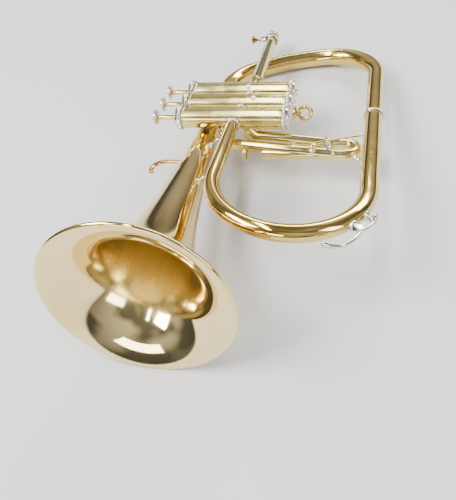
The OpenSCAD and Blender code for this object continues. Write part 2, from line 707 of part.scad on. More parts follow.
module water_key_saddles() color(nickel) lay_down() {
    // nipple and ears on the front bow
    difference() {
        union() {
            bar(on_bow(main_pad_a, bow_r + 5), on_bow(main_pad_a, bow_r + 12.4), 2.9);
            ears(on_bow(main_pivot_a, bow_r + 5), main_pivot, bow_normal);
            bar(on_bow(main_pivot_a, bow_r + 5), on_bow(main_pivot_a, bow_r + 9.3), 4.4);
        }
        bar(on_bow(main_pad_a, bow_r + 5), on_bow(main_pad_a, bow_r + 14), 1.5);
        for (a = [main_pad_a, main_pivot_a])
            bar(on_bow(a - 5, bow_r / cos(5)), on_bow(a + 5, bow_r / cos(5)), bow_tube_r(a) + 0.2);
    }
    // nipple and ears on the third slide's front leg
    difference() {
        union() {
            bar([third_pad[0], slide_y + 4, third_pad[2]], [third_pad[0], third_pad[1] - 0.6,
                third_pad[2]], 2.9);
            ears([third_pivot[0], slide_y + outer_r - 0.5, third_pivot[2]], third_pivot, third_axis);
            bar([third_pivot[0] + 1.5, slide_y + 1, third_pivot[2]],
                [third_pivot[0] + 1.5, slide_y + outer_r + 1, third_pivot[2]], 4.8);
        }
        bar([third_pad[0], slide_y, third_pad[2]], [third_pad[0], slide_y + 12, third_pad[2]], 1.5);
        bar([third_b_x, slide_y, -140], [third_b_x, slide_y, -60], outer_r + 0.01);
        bar([third_a_x, slide_y, -160], [third_a_x, slide_y, -60], outer_r + 0.6);
    }
}

module water_key_pins() color(steel) lay_down() for (p = [[main_pivot, bow_normal], [third_pivot,
    third_axis]]) {
    bar(p[0] - 3.6 * p[1], p[0] + 3.9 * p[1], pin_r - 0.01);
    bar(p[0] + (key_gap + ear_wall + 0.02) * p[1], p[0] + 4.5 * p[1], 1.7, 1.4);
}

module main_water_key() color(nickel) lay_down() difference() {
    tail = [on_bow(-40, bow_r + 20), on_bow(-32, bow_r + 20), on_bow(-25, bow_r + 14.5)];
    union() {
        bar(main_pivot - 1.8 * bow_normal, main_pivot + 1.8 * bow_normal, 2.2);
        bar(main_pad, on_bow(main_pad_a, bow_r + 16), 4.6, 3.4);
        rod(concat([on_bow(main_pad_a, bow_r + 14.6), main_pivot + 1.3 * bow_out(main_pivot_a)], tail), 1.4);
        translate(tail[2]) sphere(1.9, $fn = 32);
    }
    bar(main_pivot - 4 * bow_normal, main_pivot + 4 * bow_normal, pin_r + fit);
    bar(on_bow(main_pad_a, bow_r + 12), on_bow(main_pad_a, bow_r + 14.2), 3.8);
}

module main_key_cork() color(cork) lay_down()
    bar(on_bow(main_pad_a, bow_r + 12.45), on_bow(main_pad_a, bow_r + 14.2), 3.8);

module third_water_key() color(pale_brass) lay_down() difference() {
    up = [0, 1, 0];
    union() {
        bar(third_pivot - 1.8 * third_axis, third_pivot + 1.8 * third_axis, 2.1);
        bar(third_pad, third_pad + 3 * up, 4.4, 3.2);
        rod([third_pad + 1.8 * up, third_pivot + 0.6 * up, third_tail], 1.25);
        translate(third_tail) sphere(1.8, $fn = 32);
    }
    bar(third_pivot - 4 * third_axis, third_pivot + 4 * third_axis, pin_r + fit);
    bar(third_pad - up, third_pad + 1.2 * up, 3.6);
}

module third_key_cork() color(cork) lay_down() {
    up = [0, 1, 0];
    bar(third_pad - 0.55 * up, third_pad + 1.2 * up, 3.6);
}

// Leaf springs under the levers
module water_key_springs() color(steel) lay_down() {
    bar(on_bow(-45, bow_r + 8.6), on_bow(-39, bow_r + 13.2), 0.45);
    foot = third_pivot + 5.7 * third_along;
    bar([foot[0] + 3, slide_y + 5.4, foot[2]], [foot[0], third_pivot[1] - 2.6, foot[2] - 3], 0.45);
}

module valve_casing_1() valve_casing(0);
module valve_casing_2() valve_casing(1);
module valve_casing_3() valve_casing(2);
module top_cap_1() top_cap(0);
module top_cap_2() top_cap(1);
module top_cap_3() top_cap(2);
module bottom_cap_1() bottom_cap(0);
module bottom_cap_2() bottom_cap(1);
module bottom_cap_3() bottom_cap(2);
module piston_1() piston(0);
module piston_2() piston(1);
module piston_3() piston(2);
module valve_stem_1() valve_stem(0);
module valve_stem_2() valve_stem(1);
module valve_stem_3() valve_stem(2);
module finger_button_1() finger_button(0);
module finger_button_2() finger_button(1);
module finger_button_3() finger_button(2);
module button_pearl_1() button_pearl(0);
module button_pearl_2() button_pearl(1);
module button_pearl_3() button_pearl(2);
module valve_spring_1() valve_spring(0);
module valve_spring_2() valve_spring(1);
module valve_spring_3() valve_spring(2);

bell();
bell_rim_wire();
back_bow();
bottom_tube();
front_bow();
valve_exit_tube();
tube_ferrules();
valve_casing_1();
valve_casing_2();
valve_casing_3();
top_cap_1();
top_cap_2();
top_cap_3();
bottom_cap_1();
bottom_cap_2();
bottom_cap_3();
piston_1();
piston_2();
piston_3();
valve_stem_1();
valve_stem_2();
valve_stem_3();
finger_button_1();
finger_button_2();
finger_button_3();
button_pearl_1();
button_pearl_2();
button_pearl_3();
valve_spring_1();
valve_spring_2();
valve_spring_3();
cap_felts();
guide_screws();
valve_knuckles();
leadpipe_sleeve();
clamp_collar();
clamp_screw();
mouthpipe();
first_slide_tubes();
first_slide();
first_slide_ring();
second_slide_tubes();
second_slide();
third_slide_tubes();
third_slide();
third_slide_knob();
body_braces();
finger_hook();
water_key_saddles();
water_key_pins();
main_water_key();
main_key_cork();
third_water_key();
third_key_cork();
water_key_springs();
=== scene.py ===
import json
import math

import bmesh
import bpy
from mathutils import Matrix, Vector


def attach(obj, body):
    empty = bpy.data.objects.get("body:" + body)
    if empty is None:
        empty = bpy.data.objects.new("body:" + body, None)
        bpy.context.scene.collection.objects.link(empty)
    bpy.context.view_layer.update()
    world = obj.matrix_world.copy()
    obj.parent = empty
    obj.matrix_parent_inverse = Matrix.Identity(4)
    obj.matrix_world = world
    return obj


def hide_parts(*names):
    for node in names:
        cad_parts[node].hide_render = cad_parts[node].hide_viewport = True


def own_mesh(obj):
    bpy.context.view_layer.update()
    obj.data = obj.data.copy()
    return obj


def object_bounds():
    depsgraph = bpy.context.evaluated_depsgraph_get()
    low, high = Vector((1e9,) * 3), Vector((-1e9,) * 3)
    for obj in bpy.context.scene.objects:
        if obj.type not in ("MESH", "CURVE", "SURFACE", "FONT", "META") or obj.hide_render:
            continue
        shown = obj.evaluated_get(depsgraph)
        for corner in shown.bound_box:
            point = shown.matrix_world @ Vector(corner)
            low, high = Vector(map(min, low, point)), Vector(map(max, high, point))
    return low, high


# A flugelhorn lying on its side. Shapes are worked out in the horn's own playing axes, in
# millimetres: x out of the bell, y to the player's left, z up through the finger buttons, with the
# bell's axis at y = z = 0. The frame gives those axes in the row: the slides' joints point along
# them, and the bell mouth is a mount.

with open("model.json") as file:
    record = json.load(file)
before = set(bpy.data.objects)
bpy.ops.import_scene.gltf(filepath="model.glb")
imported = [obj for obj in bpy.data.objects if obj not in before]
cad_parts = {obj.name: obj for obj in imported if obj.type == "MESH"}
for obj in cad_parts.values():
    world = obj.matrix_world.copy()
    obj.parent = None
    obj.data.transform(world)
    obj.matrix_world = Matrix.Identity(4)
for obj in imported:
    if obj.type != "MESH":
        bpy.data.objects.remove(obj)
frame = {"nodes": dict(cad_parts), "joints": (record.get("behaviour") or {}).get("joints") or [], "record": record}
cad_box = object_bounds()

MM = 0.001
MOUTH_X = 251.0          # mm from the second valve's axis to the bell mouth
joints = {j["name"]: j for j in frame["joints"]}
mounts = {m["name"]: m for m in frame["record"]["mounts"]}
AXIS_X = -Vector(joints["main_slide_pull"]["axis"]).normalized()
AXIS_Z = -Vector(joints["valve_2_press"]["axis"]).normalized()
AXIS_Y = AXIS_Z.cross(AXIS_X).normalized()
AXES = Matrix((AXIS_X, AXIS_Y, AXIS_Z)).transposed()
ORIGIN = Vector(mounts["bell_stand_seat"]["pos_m"]) - AXIS_X * (MOUTH_X * MM)
X, Y, Z = Vector((1, 0, 0)), Vector((0, 1, 0)), Vector((0, 0, 1))

ROOT = "horn_body"


# ---------- places ----------

def row(point):
    """A point of the horn, in mm, as a point of the row, in metres."""
    return ORIGIN + AXES @ (Vector(point) * MM)


def horn(point):
    """A point of the row, in metres, as a point of the horn, in mm."""
    return AXES.transposed() @ (Vector(point) - ORIGIN) / MM


def span(node):
    """Lowest and highest corner of a CAD node in the horn's axes, in mm."""
    points = [horn(v.co) for v in frame["nodes"][node].data.vertices]
    low = Vector([min(p[k] for p in points) for k in range(3)])
    high = Vector([max(p[k] for p in points) for k in range(3)])
    return low, high


def centre(node):
    low, high = span(node)
    return (low + high) / 2


def lerp(a, b, t):
    return a + (b - a) * t


def smooth(t):
    t = min(1.0, max(0.0, t))
    return t * t * (3 - 2 * t)


def joint_at(name):
    return horn(joints[name]["pos_m"])


def joint_axis(name):
    return (AXES.transposed() @ Vector(joints[name]["axis"])).normalized()


# ---------- mesh helpers ----------

def finish_mesh(mesh_data, name, material, body, nodes, crease=38):
    """Makes the object from a bmesh in the horn's axes, smooth except at creases, on its body."""
    bmesh.ops.remove_doubles(mesh_data, verts=mesh_data.verts, dist=1e-4)
    bmesh.ops.recalc_face_normals(mesh_data, faces=mesh_data.faces)
    for v in mesh_data.verts:
        v.co = row(v.co)
    mesh = bpy.data.meshes.new(name)
    mesh_data.to_mesh(mesh)
    mesh_data.free()
    for face in mesh.polygons:
        face.use_smooth = True
    mesh.set_sharp_from_angle(angle=math.radians(crease))
    piece = bpy.data.objects.new(name, mesh)
    bpy.context.scene.collection.objects.link(piece)
    mesh.materials.append(material)
    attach(piece, body)
    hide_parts(*nodes)
    return piece


def frame_along(direction, hint=None):
    """Two directions square to the given one."""
    direction = direction.normalized()
    hint = hint or (Z if abs(direction.z) < 0.9 else X)
    side = hint.cross(direction).normalized()
    return side, direction.cross(side).normalized()


def rings_to(mesh_data, rings, close=False, ends=True):
    """Skins rings of points into a bmesh."""
    made = [[mesh_data.verts.new(p) for p in ring] for ring in rings]
    count = len(made[0])
    pairs = list(zip(made, made[1:])) + ([(made[-1], made[0])] if close else [])
    for a, b in pairs:
        for k in range(count):
            n = (k + 1) % count
            mesh_data.faces.new((a[k], a[n], b[n], b[k]))
    if ends and not close:
        mesh_data.faces.new(made[0])
        mesh_data.faces.new(list(reversed(made[-1])))
    return made


def add_lathe(mesh_data, profile, base, axis, turns=96, shape=None):
    """Turns a profile of (radius, height) points round axis from base; a profile that starts and ends
    at the same point is a ring."""
    side, other = frame_along(axis)
    axis = axis.normalized()
    closed = (Vector(profile[0]) - Vector(profile[-1])).length < 1e-6
    points = profile[:-1] if closed else profile
    rings = []
    for r, h in points:
        ring = []
        for k in range(turns):
            a = math.tau * k / turns
            reach = r if shape is None else shape(a, r, h)
            ring.append(base + axis * h + (side * math.cos(a) + other * math.sin(a)) * max(reach, 1e-5))
        rings.append(ring)
    rings_to(mesh_data, rings, close=closed, ends=not closed)


def rounded(points, radius, steps=4):
    """The outline with its corners rounded."""
    points = [Vector(p) for p in points]
    out = [tuple(points[0])]
    for before, corner, after in zip(points, points[1:], points[2:]):
        a, b = before - corner, after - corner
        cut = min(radius, a.length * 0.45, b.length * 0.45)
        p, q = corner + a.normalized() * cut, corner + b.normalized() * cut
        for k in range(steps + 1):
            t = k / steps
            out.append(tuple(p * (1 - t) ** 2 + corner * 2 * t * (1 - t) + q * t * t))
    out.append(tuple(points[-1]))
    return out


def closed_outline(points, radius, steps=4):
    """A rounded closed outline whose last point is its first."""
    start = (Vector(points[0]) + Vector(points[-1])) / 2
    return rounded([tuple(start)] + list(points) + [tuple(start)], radius, steps)


def bent(points, radius, steps=14):
    """The path through the points with each corner turned into an arc."""
    points = [Vector(p) for p in points]
    out = [points[0]]
    for before, corner, after in zip(points, points[1:], points[2:]):
        a, b = (before - corner).normalized(), (after - corner).normalized()
        half = a.angle(b) / 2
        cut = radius / math.tan(half)
        middle = corner + (a + b).normalized() * (radius / math.sin(half))
        start = corner + a * cut - middle
        stop = corner + b * cut - middle
        for k in range(steps + 1):
            out.append(middle + start.slerp(stop, k / steps))
    out.append(points[-1])
    return out


def curve_through(points, per=8):
    """Catmull-Rom curve through the points."""
    points = [Vector(p) for p in points]
    padded = [points[0] * 2 - points[1]] + points + [points[-1] * 2 - points[-2]]
    out = []
    for a, b, c, d in zip(padded, padded[1:], padded[2:], padded[3:]):
        for k in range(per):
            t = k / per
            out.append(((b * 2) + (c - a) * t + (a * 2 - b * 5 + c * 4 - d) * t * t
                        + (b * 3 - a - c * 3 + d) * t ** 3) / 2)
    out.append(points[-1])
    return out


def add_sweep(mesh_data, path, radius, sides=48, flat=None, hint=None, domed=False):
    """A round or flattened bar along the path. radius is a number or a function of 0..1; flat(t) gives the
    section's other half-width. Domed ends close it with a hemisphere."""
    path = [Vector(p) for p in path]
    size = radius if callable(radius) else (lambda t: radius)
    second = flat or size
    lengths = [0.0]
    for a, b in zip(path, path[1:]):
        lengths.append(lengths[-1] + (b - a).length)
    total = lengths[-1]
    tangents = []
    for i in range(len(path)):
        tangents.append((path[min(i + 1, len(path) - 1)] - path[max(i - 1, 0)]).normalized())
    side, _ = frame_along(tangents[0], hint)
    rings = []

    def ring(point, across, over, r1, r2):
        return [point + across * (math.cos(math.tau * k / sides) * r1)
                + over * (math.sin(math.tau * k / sides) * r2)
                for k in range(sides)]

    def dome(point, tangent, across, over, t, outward):
        steps = 6
        order = range(steps, 0, -1) if outward < 0 else range(1, steps + 1)
        for k in order:
            a = math.pi / 2 * k / steps * 0.985
            yield ring(point + tangent * (outward * math.sin(a) * min(size(t), second(t))), across, over,
                       size(t) * math.cos(a), second(t) * math.cos(a))

    for i, (point, tangent) in enumerate(zip(path, tangents)):
        side = (side - tangent * side.dot(tangent)).normalized()
        over = tangent.cross(side)
        t = lengths[i] / total
        if domed and i == 0:
            rings += list(dome(point, tangent, side, over, 0.0, -1))
        rings.append(ring(point, side, over, size(t), second(t)))
        if domed and i == len(path) - 1:
            rings += list(dome(point, tangent, side, over, 1.0, 1))
    rings_to(mesh_data, rings)


def add_ball(mesh_data, point, radius):
    made = bmesh.ops.create_uvsphere(mesh_data, u_segments=32, v_segments=20, radius=radius)
    bmesh.ops.translate(mesh_data, verts=made["verts"], vec=point)


def knurl(count, depth, low, high):
    """Ribs round a rim, between two heights of the profile."""
    def shape(a, r, h):
        if not low <= h <= high or r < 1:
            return r
        rib = abs(math.sin(a * count / 2))
        return r - depth * (1 - rib)
    return shape


# ---------- materials ----------


def socket_mix(tree, factor, low, high):
    """Mixes two colours by a factor output."""
    node = tree.nodes.new("ShaderNodeMix")
    node.data_type = "RGBA"
    node.inputs[6].default_value = (*low, 1)
    node.inputs[7].default_value = (*high, 1)
    tree.links.new(factor, node.inputs[0])
    return node.outputs[2]


def noise(tree, coords, scale, detail=4.0, rough=0.55, stretch=(1, 1, 1)):
    place = tree.nodes.new("ShaderNodeMapping")
    place.inputs["Scale"].default_value = stretch
    tree.links.new(coords, place.inputs["Vector"])
    node = tree.nodes.new("ShaderNodeTexNoise")
    node.inputs["Scale"].default_value = scale
    node.inputs["Detail"].default_value = detail
    node.inputs["Roughness"].default_value = rough
    tree.links.new(place.outputs["Vector"], node.inputs["Vector"])
    return node.outputs["Fac"]


def ramp(tree, value, low, high, to_low=0.0, to_high=1.0):
    node = tree.nodes.new("ShaderNodeMapRange")
    node.inputs["From Min"].default_value = low
    node.inputs["From Max"].default_value = high
    node.inputs["To Min"].default_value = to_low
    node.inputs["To Max"].default_value = to_high
    tree.links.new(value, node.inputs["Value"])
    return node.outputs["Result"]


def maths(tree, kind, a, b):
    node = tree.nodes.new("ShaderNodeMath")
    node.operation = kind
    for k, value in enumerate((a, b)):
        if isinstance(value, (int, float)):
            node.inputs[k].default_value = value
        else:
            tree.links.new(value, node.inputs[k])
    return node.outputs[0]


def metal(name, colour, deep, shade_and_tarnish, rough=(0.06, 0.2), patch=26, scratch=0.05, shade_strength=0.5, coat=0.0):
    """Polished metal: cloudy colour from deep to colour, painted shade darkening corners and joins (ambient
    occlusion), tarnished spots, fine hairline wear.
    """
    material = bpy.data.materials.new(name)
    material.use_nodes = True
    tree = material.node_tree
    shader = tree.nodes["Principled BSDF"]
    coords = tree.nodes.new("ShaderNodeTexCoord").outputs["Object"]
    clouds = noise(tree, coords, patch, 5)
    spots = noise(tree, coords, 320, 6, 0.7)
    hair = noise(tree, coords, 900, 3, 0.6, (1, 0.06, 1))
    body = socket_mix(tree, ramp(tree, clouds, 0.36, 0.66), deep, colour)
    # Painted shade: an ambient-occlusion mask with a 4 mm reach darkens the colour towards near-black brown in
    # corners, creases and where parts meet.
    corner = tree.nodes.new("ShaderNodeAmbientOcclusion")
    corner.inputs["Distance"].default_value = 0.004
    corner.samples = 6
    corner_shade = maths(tree, "SUBTRACT", 1.0, corner.outputs["AO"])
    corner_shade = maths(tree, "MULTIPLY", ramp(tree, corner_shade, 0.25, 0.85), shade_strength)
    speck = ramp(tree, spots, 0.66, 0.78, 0.0, 0.45)
    # Painted corner shade and real tarnished spots share one mask; whichever is stronger wins.
    shade_and_stain = maths(tree, "MAXIMUM", corner_shade, maths(tree, "MULTIPLY", speck, ramp(tree, clouds, 0.45, 0.6)))
    mix = tree.nodes.new("ShaderNodeMix")
    mix.data_type = "RGBA"
    tree.links.new(shade_and_stain, mix.inputs[0])
    tree.links.new(body, mix.inputs[6])
    mix.inputs[7].default_value = (*shade_and_tarnish, 1)
    tree.links.new(mix.outputs[2], shader.inputs["Base Color"])
    gloss = maths(tree, "ADD", ramp(tree, clouds, 0.3, 0.7, rough[0], rough[1]),
                  maths(tree, "MULTIPLY", ramp(tree, hair, 0.5, 0.8), 0.08))
    tree.links.new(maths(tree, "ADD", gloss, maths(tree, "MULTIPLY", shade_and_stain, 0.25)),
                   shader.inputs["Roughness"])
    shader.inputs["Metallic"].default_value = 1.0
    shader.inputs["Coat Weight"].default_value = coat
    shader.inputs["Coat Roughness"].default_value = 0.05
    bump = tree.nodes.new("ShaderNodeBump")
    bump.inputs["Strength"].default_value = scratch
    bump.inputs["Distance"].default_value = 0.0004
    relief = maths(tree, "ADD", maths(tree, "MULTIPLY", hair, 0.5), noise(tree, coords, 60, 2))
    tree.links.new(relief, bump.inputs["Height"])
    tree.links.new(bump.outputs["Normal"], shader.inputs["Normal"])
    return material


def soft_material(name, colour, deep, scale, rough, bump_by, sheen=0.0):
    """Cork, felt and pearl: mottled colour with a grain in its relief."""
    material = bpy.data.materials.new(name)
    material.use_nodes = True
    tree = material.node_tree
    shader = tree.nodes["Principled BSDF"]
    coords = tree.nodes.new("ShaderNodeTexCoord").outputs["Object"]
    grain = noise(tree, coords, scale, 6, 0.65)
    tree.links.new(socket_mix(tree, ramp(tree, grain, 0.38, 0.62), deep, colour), shader.inputs["Base Color"])
    tree.links.new(ramp(tree, grain, 0.3, 0.7, rough, rough * 1.25), shader.inputs["Roughness"])
    shader.inputs["Sheen Weight"].default_value = sheen
    bump = tree.nodes.new("ShaderNodeBump")
    bump.inputs["Strength"].default_value = bump_by
    bump.inputs["Distance"].default_value = 0.0003
    tree.links.new(grain, bump.inputs["Height"])
    tree.links.new(bump.outputs["Normal"], shader.inputs["Normal"])
    return material


def throat_material(brass_colour, deep, shade_and_tarnish):
    """Inside of the bell: mirror bright near the mouth, satin with lengthwise drawing marks in the throat."""
    material = metal("bell_inside", brass_colour, deep, shade_and_tarnish, (0.035, 0.07), 14, 0.02,
                     0.0)
    tree = material.node_tree
    shader = tree.nodes["Principled BSDF"]
    uv = tree.nodes.new("ShaderNodeUVMap")
    uv.uv_map = "depth"
    split = tree.nodes.new("ShaderNodeSeparateXYZ")
    tree.links.new(uv.outputs["UV"], split.inputs[0])
    streaks = noise(tree, uv.outputs["UV"], 46, 5, 0.65, (1, 0.08, 1))
    depth = ramp(tree, split.outputs["Y"], 0.05, 0.20)
    old = shader.inputs["Roughness"].links[0].from_socket
    satin = maths(tree, "MULTIPLY", depth, ramp(tree, streaks, 0.3, 0.75, 0.20, 0.44))
    tree.links.new(maths(tree, "ADD", old, satin), shader.inputs["Roughness"])
    base = shader.inputs["Base Color"].links[0].from_socket
    golden = tree.nodes.new("ShaderNodeMix")
    golden.data_type = "RGBA"
    golden.inputs[7].default_value = (0.90, 0.75, 0.36, 1)
    tree.links.new(maths(tree, "MULTIPLY", depth, ramp(tree, streaks, 0.35, 0.7, 0.2, 0.75)),
                   golden.inputs[0])
    tree.links.new(base, golden.inputs[6])
    tree.links.new(golden.outputs[2], shader.inputs["Base Color"])
    return material


BRASS = (0.87, 0.65, 0.21)
BRASS_DEEP = (0.74, 0.50, 0.12)
PALE = (0.87, 0.76, 0.38)
PALE_DEEP = (0.76, 0.62, 0.24)
NICKEL = (0.84, 0.82, 0.74)
NICKEL_DEEP = (0.64, 0.62, 0.54)
# Near-black brown: the colour of tarnished spots and also of the painted shade in corners.
SHADE_AND_TARNISH = (0.13, 0.06, 0.02)

brass = metal("bright_brass", BRASS, BRASS_DEEP, SHADE_AND_TARNISH, (0.05, 0.11), coat=0.25)
bell_brass = metal("bell_brass", (0.90, 0.71, 0.32), (0.80, 0.55, 0.19), SHADE_AND_TARNISH,
                   (0.05, 0.10),
                   18, 0.03, coat=0.25)
inside = throat_material((0.92, 0.76, 0.40), (0.86, 0.66, 0.29), SHADE_AND_TARNISH)
pale = metal("slide_brass", PALE, PALE_DEEP, SHADE_AND_TARNISH, (0.07, 0.17), 40, 0.08)
satin = metal("casing_brass", (0.85, 0.76, 0.34), (0.74, 0.61, 0.20), SHADE_AND_TARNISH, (0.12, 0.24), 50,
              0.10)
nickel = metal("nickel_plate", NICKEL, NICKEL_DEEP, (0.10, 0.07, 0.04), (0.06, 0.18), 60, 0.08, 0.9)
bronze = metal("worn_bronze", (0.50, 0.37, 0.15), (0.30, 0.20, 0.07), (0.06, 0.03, 0.02),
               (0.18, 0.36),
               90, 0.2, 0.9)
golden = metal("golden_brass", (0.88, 0.68, 0.24), (0.76, 0.52, 0.13), SHADE_AND_TARNISH,
               (0.07, 0.16), 60)
coppery = metal("hook_brass", (0.76, 0.49, 0.19), (0.56, 0.31, 0.09), SHADE_AND_TARNISH, (0.12, 0.26),
                70, 0.1)
steel = metal("spring_steel", (0.60, 0.61, 0.63), (0.45, 0.45, 0.46), (0.12, 0.08, 0.05),
              (0.15, 0.3), 80)
pearl = soft_material("pearl_shell", (0.90, 0.88, 0.80), (0.66, 0.66, 0.62), 160, 0.16, 0.02)
cork_stuff = soft_material("cork_disc", (0.60, 0.40, 0.22), (0.34, 0.20, 0.10), 900, 0.7, 0.5)
felt = soft_material("red_felt", (0.32, 0.05, 0.06), (0.20, 0.03, 0.04), 1500, 0.9, 0.6, 0.4)


# ---------- bell ----------

FLARE_LEN = 17.0         # mm, how suddenly the flare opens
FLARE_POWER = 0.61
THROAT_LEN = 225.0
THROAT_DRAW = 3.3
TAIL_R = 9.9
BEAD_R = 1.7
SHEET = 0.8              # mm of brass
bell_low, bell_high = span("bell")
MOUTH_R = (bell_high.y - bell_low.y) / 2
TAIL_X = bell_low.x
SHEET_X = MOUTH_X - 0.6
SHEET_R = MOUTH_R - BEAD_R - 0.9


def bell_r(b):
    """Outer radius of the bell at a distance b behind its mouth."""
    def flare(s):
        return SHEET_R * (FLARE_LEN / (FLARE_LEN + s)) ** FLARE_POWER - THROAT_DRAW * smooth((s - 60) / 165)
    if b <= THROAT_LEN:
        return flare(b)
    return lerp(flare(THROAT_LEN), TAIL_R, (b - THROAT_LEN) / (SHEET_X - TAIL_X - THROAT_LEN))


def bell_radius_at(x):
    return bell_r(SHEET_X - x)


def bell_profile(steps=220):
    """Outer side from the tail to the mouth, round the bead, and back inside, as (radius, x) points."""
    depth = SHEET_X - TAIL_X
    outer = [(bell_r(depth * (k / steps) ** 2), SHEET_X - depth * (k / steps) ** 2) for k in range(steps + 1)]
    bead = Vector((MOUTH_R - BEAD_R, MOUTH_X - BEAD_R))
    roll = []
    for k in range(25):
        a = math.radians(lerp(151, 455, k / 24))
        roll.append((bead.x + BEAD_R * math.cos(a), bead.y + BEAD_R * math.sin(a)))
    inner = []
    for (r, x), (r2, x2) in zip(outer, outer[1:]):
        normal = Vector((x2 - x, r - r2)).normalized()
        inner.append((r + normal.x * SHEET, x + normal.y * SHEET))
    start = [p for p in reversed(outer) if p[0] < bead.x - BEAD_R * 0.9]
    end = [p for p in inner if p[0] < bead.x - BEAD_R * 0.98]
    return start, roll, end


def build_bell():
    start, roll, end = bell_profile()
    data = bmesh.new()
    side, over = frame_along(X)
    turns = 256
    rings = []
    for r, x in start + roll + end:
        rings.append([X * x + (side * math.cos(math.tau * k / turns)
                               + over * math.sin(math.tau * k / turns)) * r
                      for k in range(turns)])
    rings_to(data, rings, close=True, ends=False)
    piece = finish_mesh(data, "bell_body", bell_brass, ROOT, ["bell"], 80)
    piece.data.materials.append(inside)
    depth = piece.data.uv_layers.new(name="depth")
    length = MOUTH_X - TAIL_X
    for face in piece.data.polygons:
        middle = horn(face.center)
        towards = horn(face.center + face.normal * MM) - middle
        radial = Vector((0, middle.y, middle.z)).normalized()
        face.material_index = 1 if towards.x > 0 and towards.dot(radial) < 0.3 else 0
        for loop in face.loop_indices:
            p = horn(piece.data.vertices[piece.data.loops[loop].vertex_index].co)
            around = math.atan2(p.z, p.y) / math.tau
            depth.data[loop].uv = (abs(around) * 2, (MOUTH_X - p.x) / length)
    return piece


# ---------- main tubing ----------

TUBE_SIDES = 72
BACK_CORNER_R = 54.0
BACK_REAR_R = 170.0
BACK_REAR_TURN = math.radians(27)
exit_low, exit_high = span("valve_exit_tube")
bottom_low, bottom_high = span("bottom_tube")
EXIT_Y, EXIT_Z = (exit_low.y + exit_high.y) / 2, (exit_low.z + exit_high.z) / 2
EXIT_R = (6.0, 6.7)
BOTTOM_R = (7.9, 8.5)
FRONT_X = exit_high.x
BOTTOM_Y = (bottom_low.y + bottom_high.y) / 2
BOTTOM_Z = -159.4
BACK_Z = -160.5
REAR_X = bottom_low.x


def front_path(steps=72):
    middle, radius = (EXIT_Z + BOTTOM_Z) / 2, (EXIT_Z - BOTTOM_Z) / 2
    out = []
    for k in range(steps + 1):
        a = math.radians(90 - 180 * k / steps)
        z = middle + radius * math.sin(a)
        y = lerp(BOTTOM_Y, EXIT_Y, (z - BOTTOM_Z) / (EXIT_Z - BOTTOM_Z))
        out.append(Vector((FRONT_X + radius * math.cos(a), y, z)))
    return out


def back_path():
    slope = BOTTOM_Y / BACK_Z
    corner_z = BACK_Z + BACK_CORNER_R
    rear_x = REAR_X - BACK_CORNER_R + BACK_REAR_R
    top_x = rear_x - BACK_REAR_R * math.cos(BACK_REAR_TURN)
    top_z = corner_z + BACK_REAR_R * math.sin(BACK_REAR_TURN)
    top_r = -top_z / (1 - math.sin(BACK_REAR_TURN))
    last_x = top_x + top_r * math.cos(BACK_REAR_TURN)
    out = []

    def arc(cx, cz, r, start, stop, steps):
        for k in range(1, steps + 1):
            a = lerp(start, stop, k / steps)
            z = cz + r * math.sin(a)
            out.append(Vector((cx + r * math.cos(a), z * slope, z)))

    out.append(Vector((REAR_X, BACK_Z * slope, BACK_Z)))
    arc(REAR_X, corner_z, BACK_CORNER_R, 1.5 * math.pi, math.pi, 36)
    arc(rear_x, corner_z, BACK_REAR_R, math.pi, math.pi - BACK_REAR_TURN, 24)
    arc(last_x, -top_r, top_r, math.pi - BACK_REAR_TURN, math.pi / 2, 30)
    return out


def tube_piece(name, path, r1, r2, material, nodes, body=ROOT, sides=TUBE_SIDES):
    data = bmesh.new()
    add_sweep(data, path, lambda t: lerp(r1, r2, t), sides)
    return finish_mesh(data, name, material, body, nodes)


def straight(a, b, steps=24):
    a, b = Vector(a), Vector(b)
    return [a.lerp(b, k / steps) for k in range(steps + 1)]


def build_main_tubing():
    tube_piece("exit_tube", straight((exit_low.x + 0.4, EXIT_Y, EXIT_Z), (FRONT_X, EXIT_Y, EXIT_Z)), *EXIT_R,
               brass, ["valve_exit_tube"])
    tube_piece("front_bow_tube", front_path(), EXIT_R[1], BOTTOM_R[0], brass, ["front_bow"])
    tube_piece("bottom_tube_run", straight((FRONT_X, BOTTOM_Y, BOTTOM_Z), (REAR_X, BOTTOM_Y, BACK_Z)),
               *BOTTOM_R,
               brass, ["bottom_tube"])
    tube_piece("back_bow_tube", back_path(), BOTTOM_R[1], TAIL_R, brass, ["back_bow"])


def ferrule_profile(r, width, proud, inner=0.4):
    """A moulded ring: bead, hollow and bead, from the tube's surface."""
    return closed_outline([(r - inner, 0), (r + proud * 0.75, 0), (r + proud, width * 0.12),
                           (r + proud, width * 0.24), (r + proud * 0.55, width * 0.34),
                           (r + proud * 0.55, width * 0.66), (r + proud, width * 0.76),
                           (r + proud, width * 0.88), (r + proud * 0.75, width), (r - inner, width)], 0.4, 3)


def build_ferrules():
    data = bmesh.new()
    low = Vector((0, BOTTOM_Y, lerp(BOTTOM_Z, BACK_Z, 0.58)))
    add_lathe(data, ferrule_profile(8.25, 3.2, 1.0), low, X, 96)
    casing = span("valve_casing_3")[1].x
    add_lathe(data, ferrule_profile(6.05, 3.5, 0.9), Vector((casing + 1.5, EXIT_Y, EXIT_Z)), X, 96)
    add_lathe(data, ferrule_profile(TAIL_R + 0.05, 6, 0.75), Vector((TAIL_X + 0.5, 0, 0)), X, 96)
    return finish_mesh(data, "tube_ferrule_rings", nickel, ROOT, ["tube_ferrules"])


# ---------- valves ----------

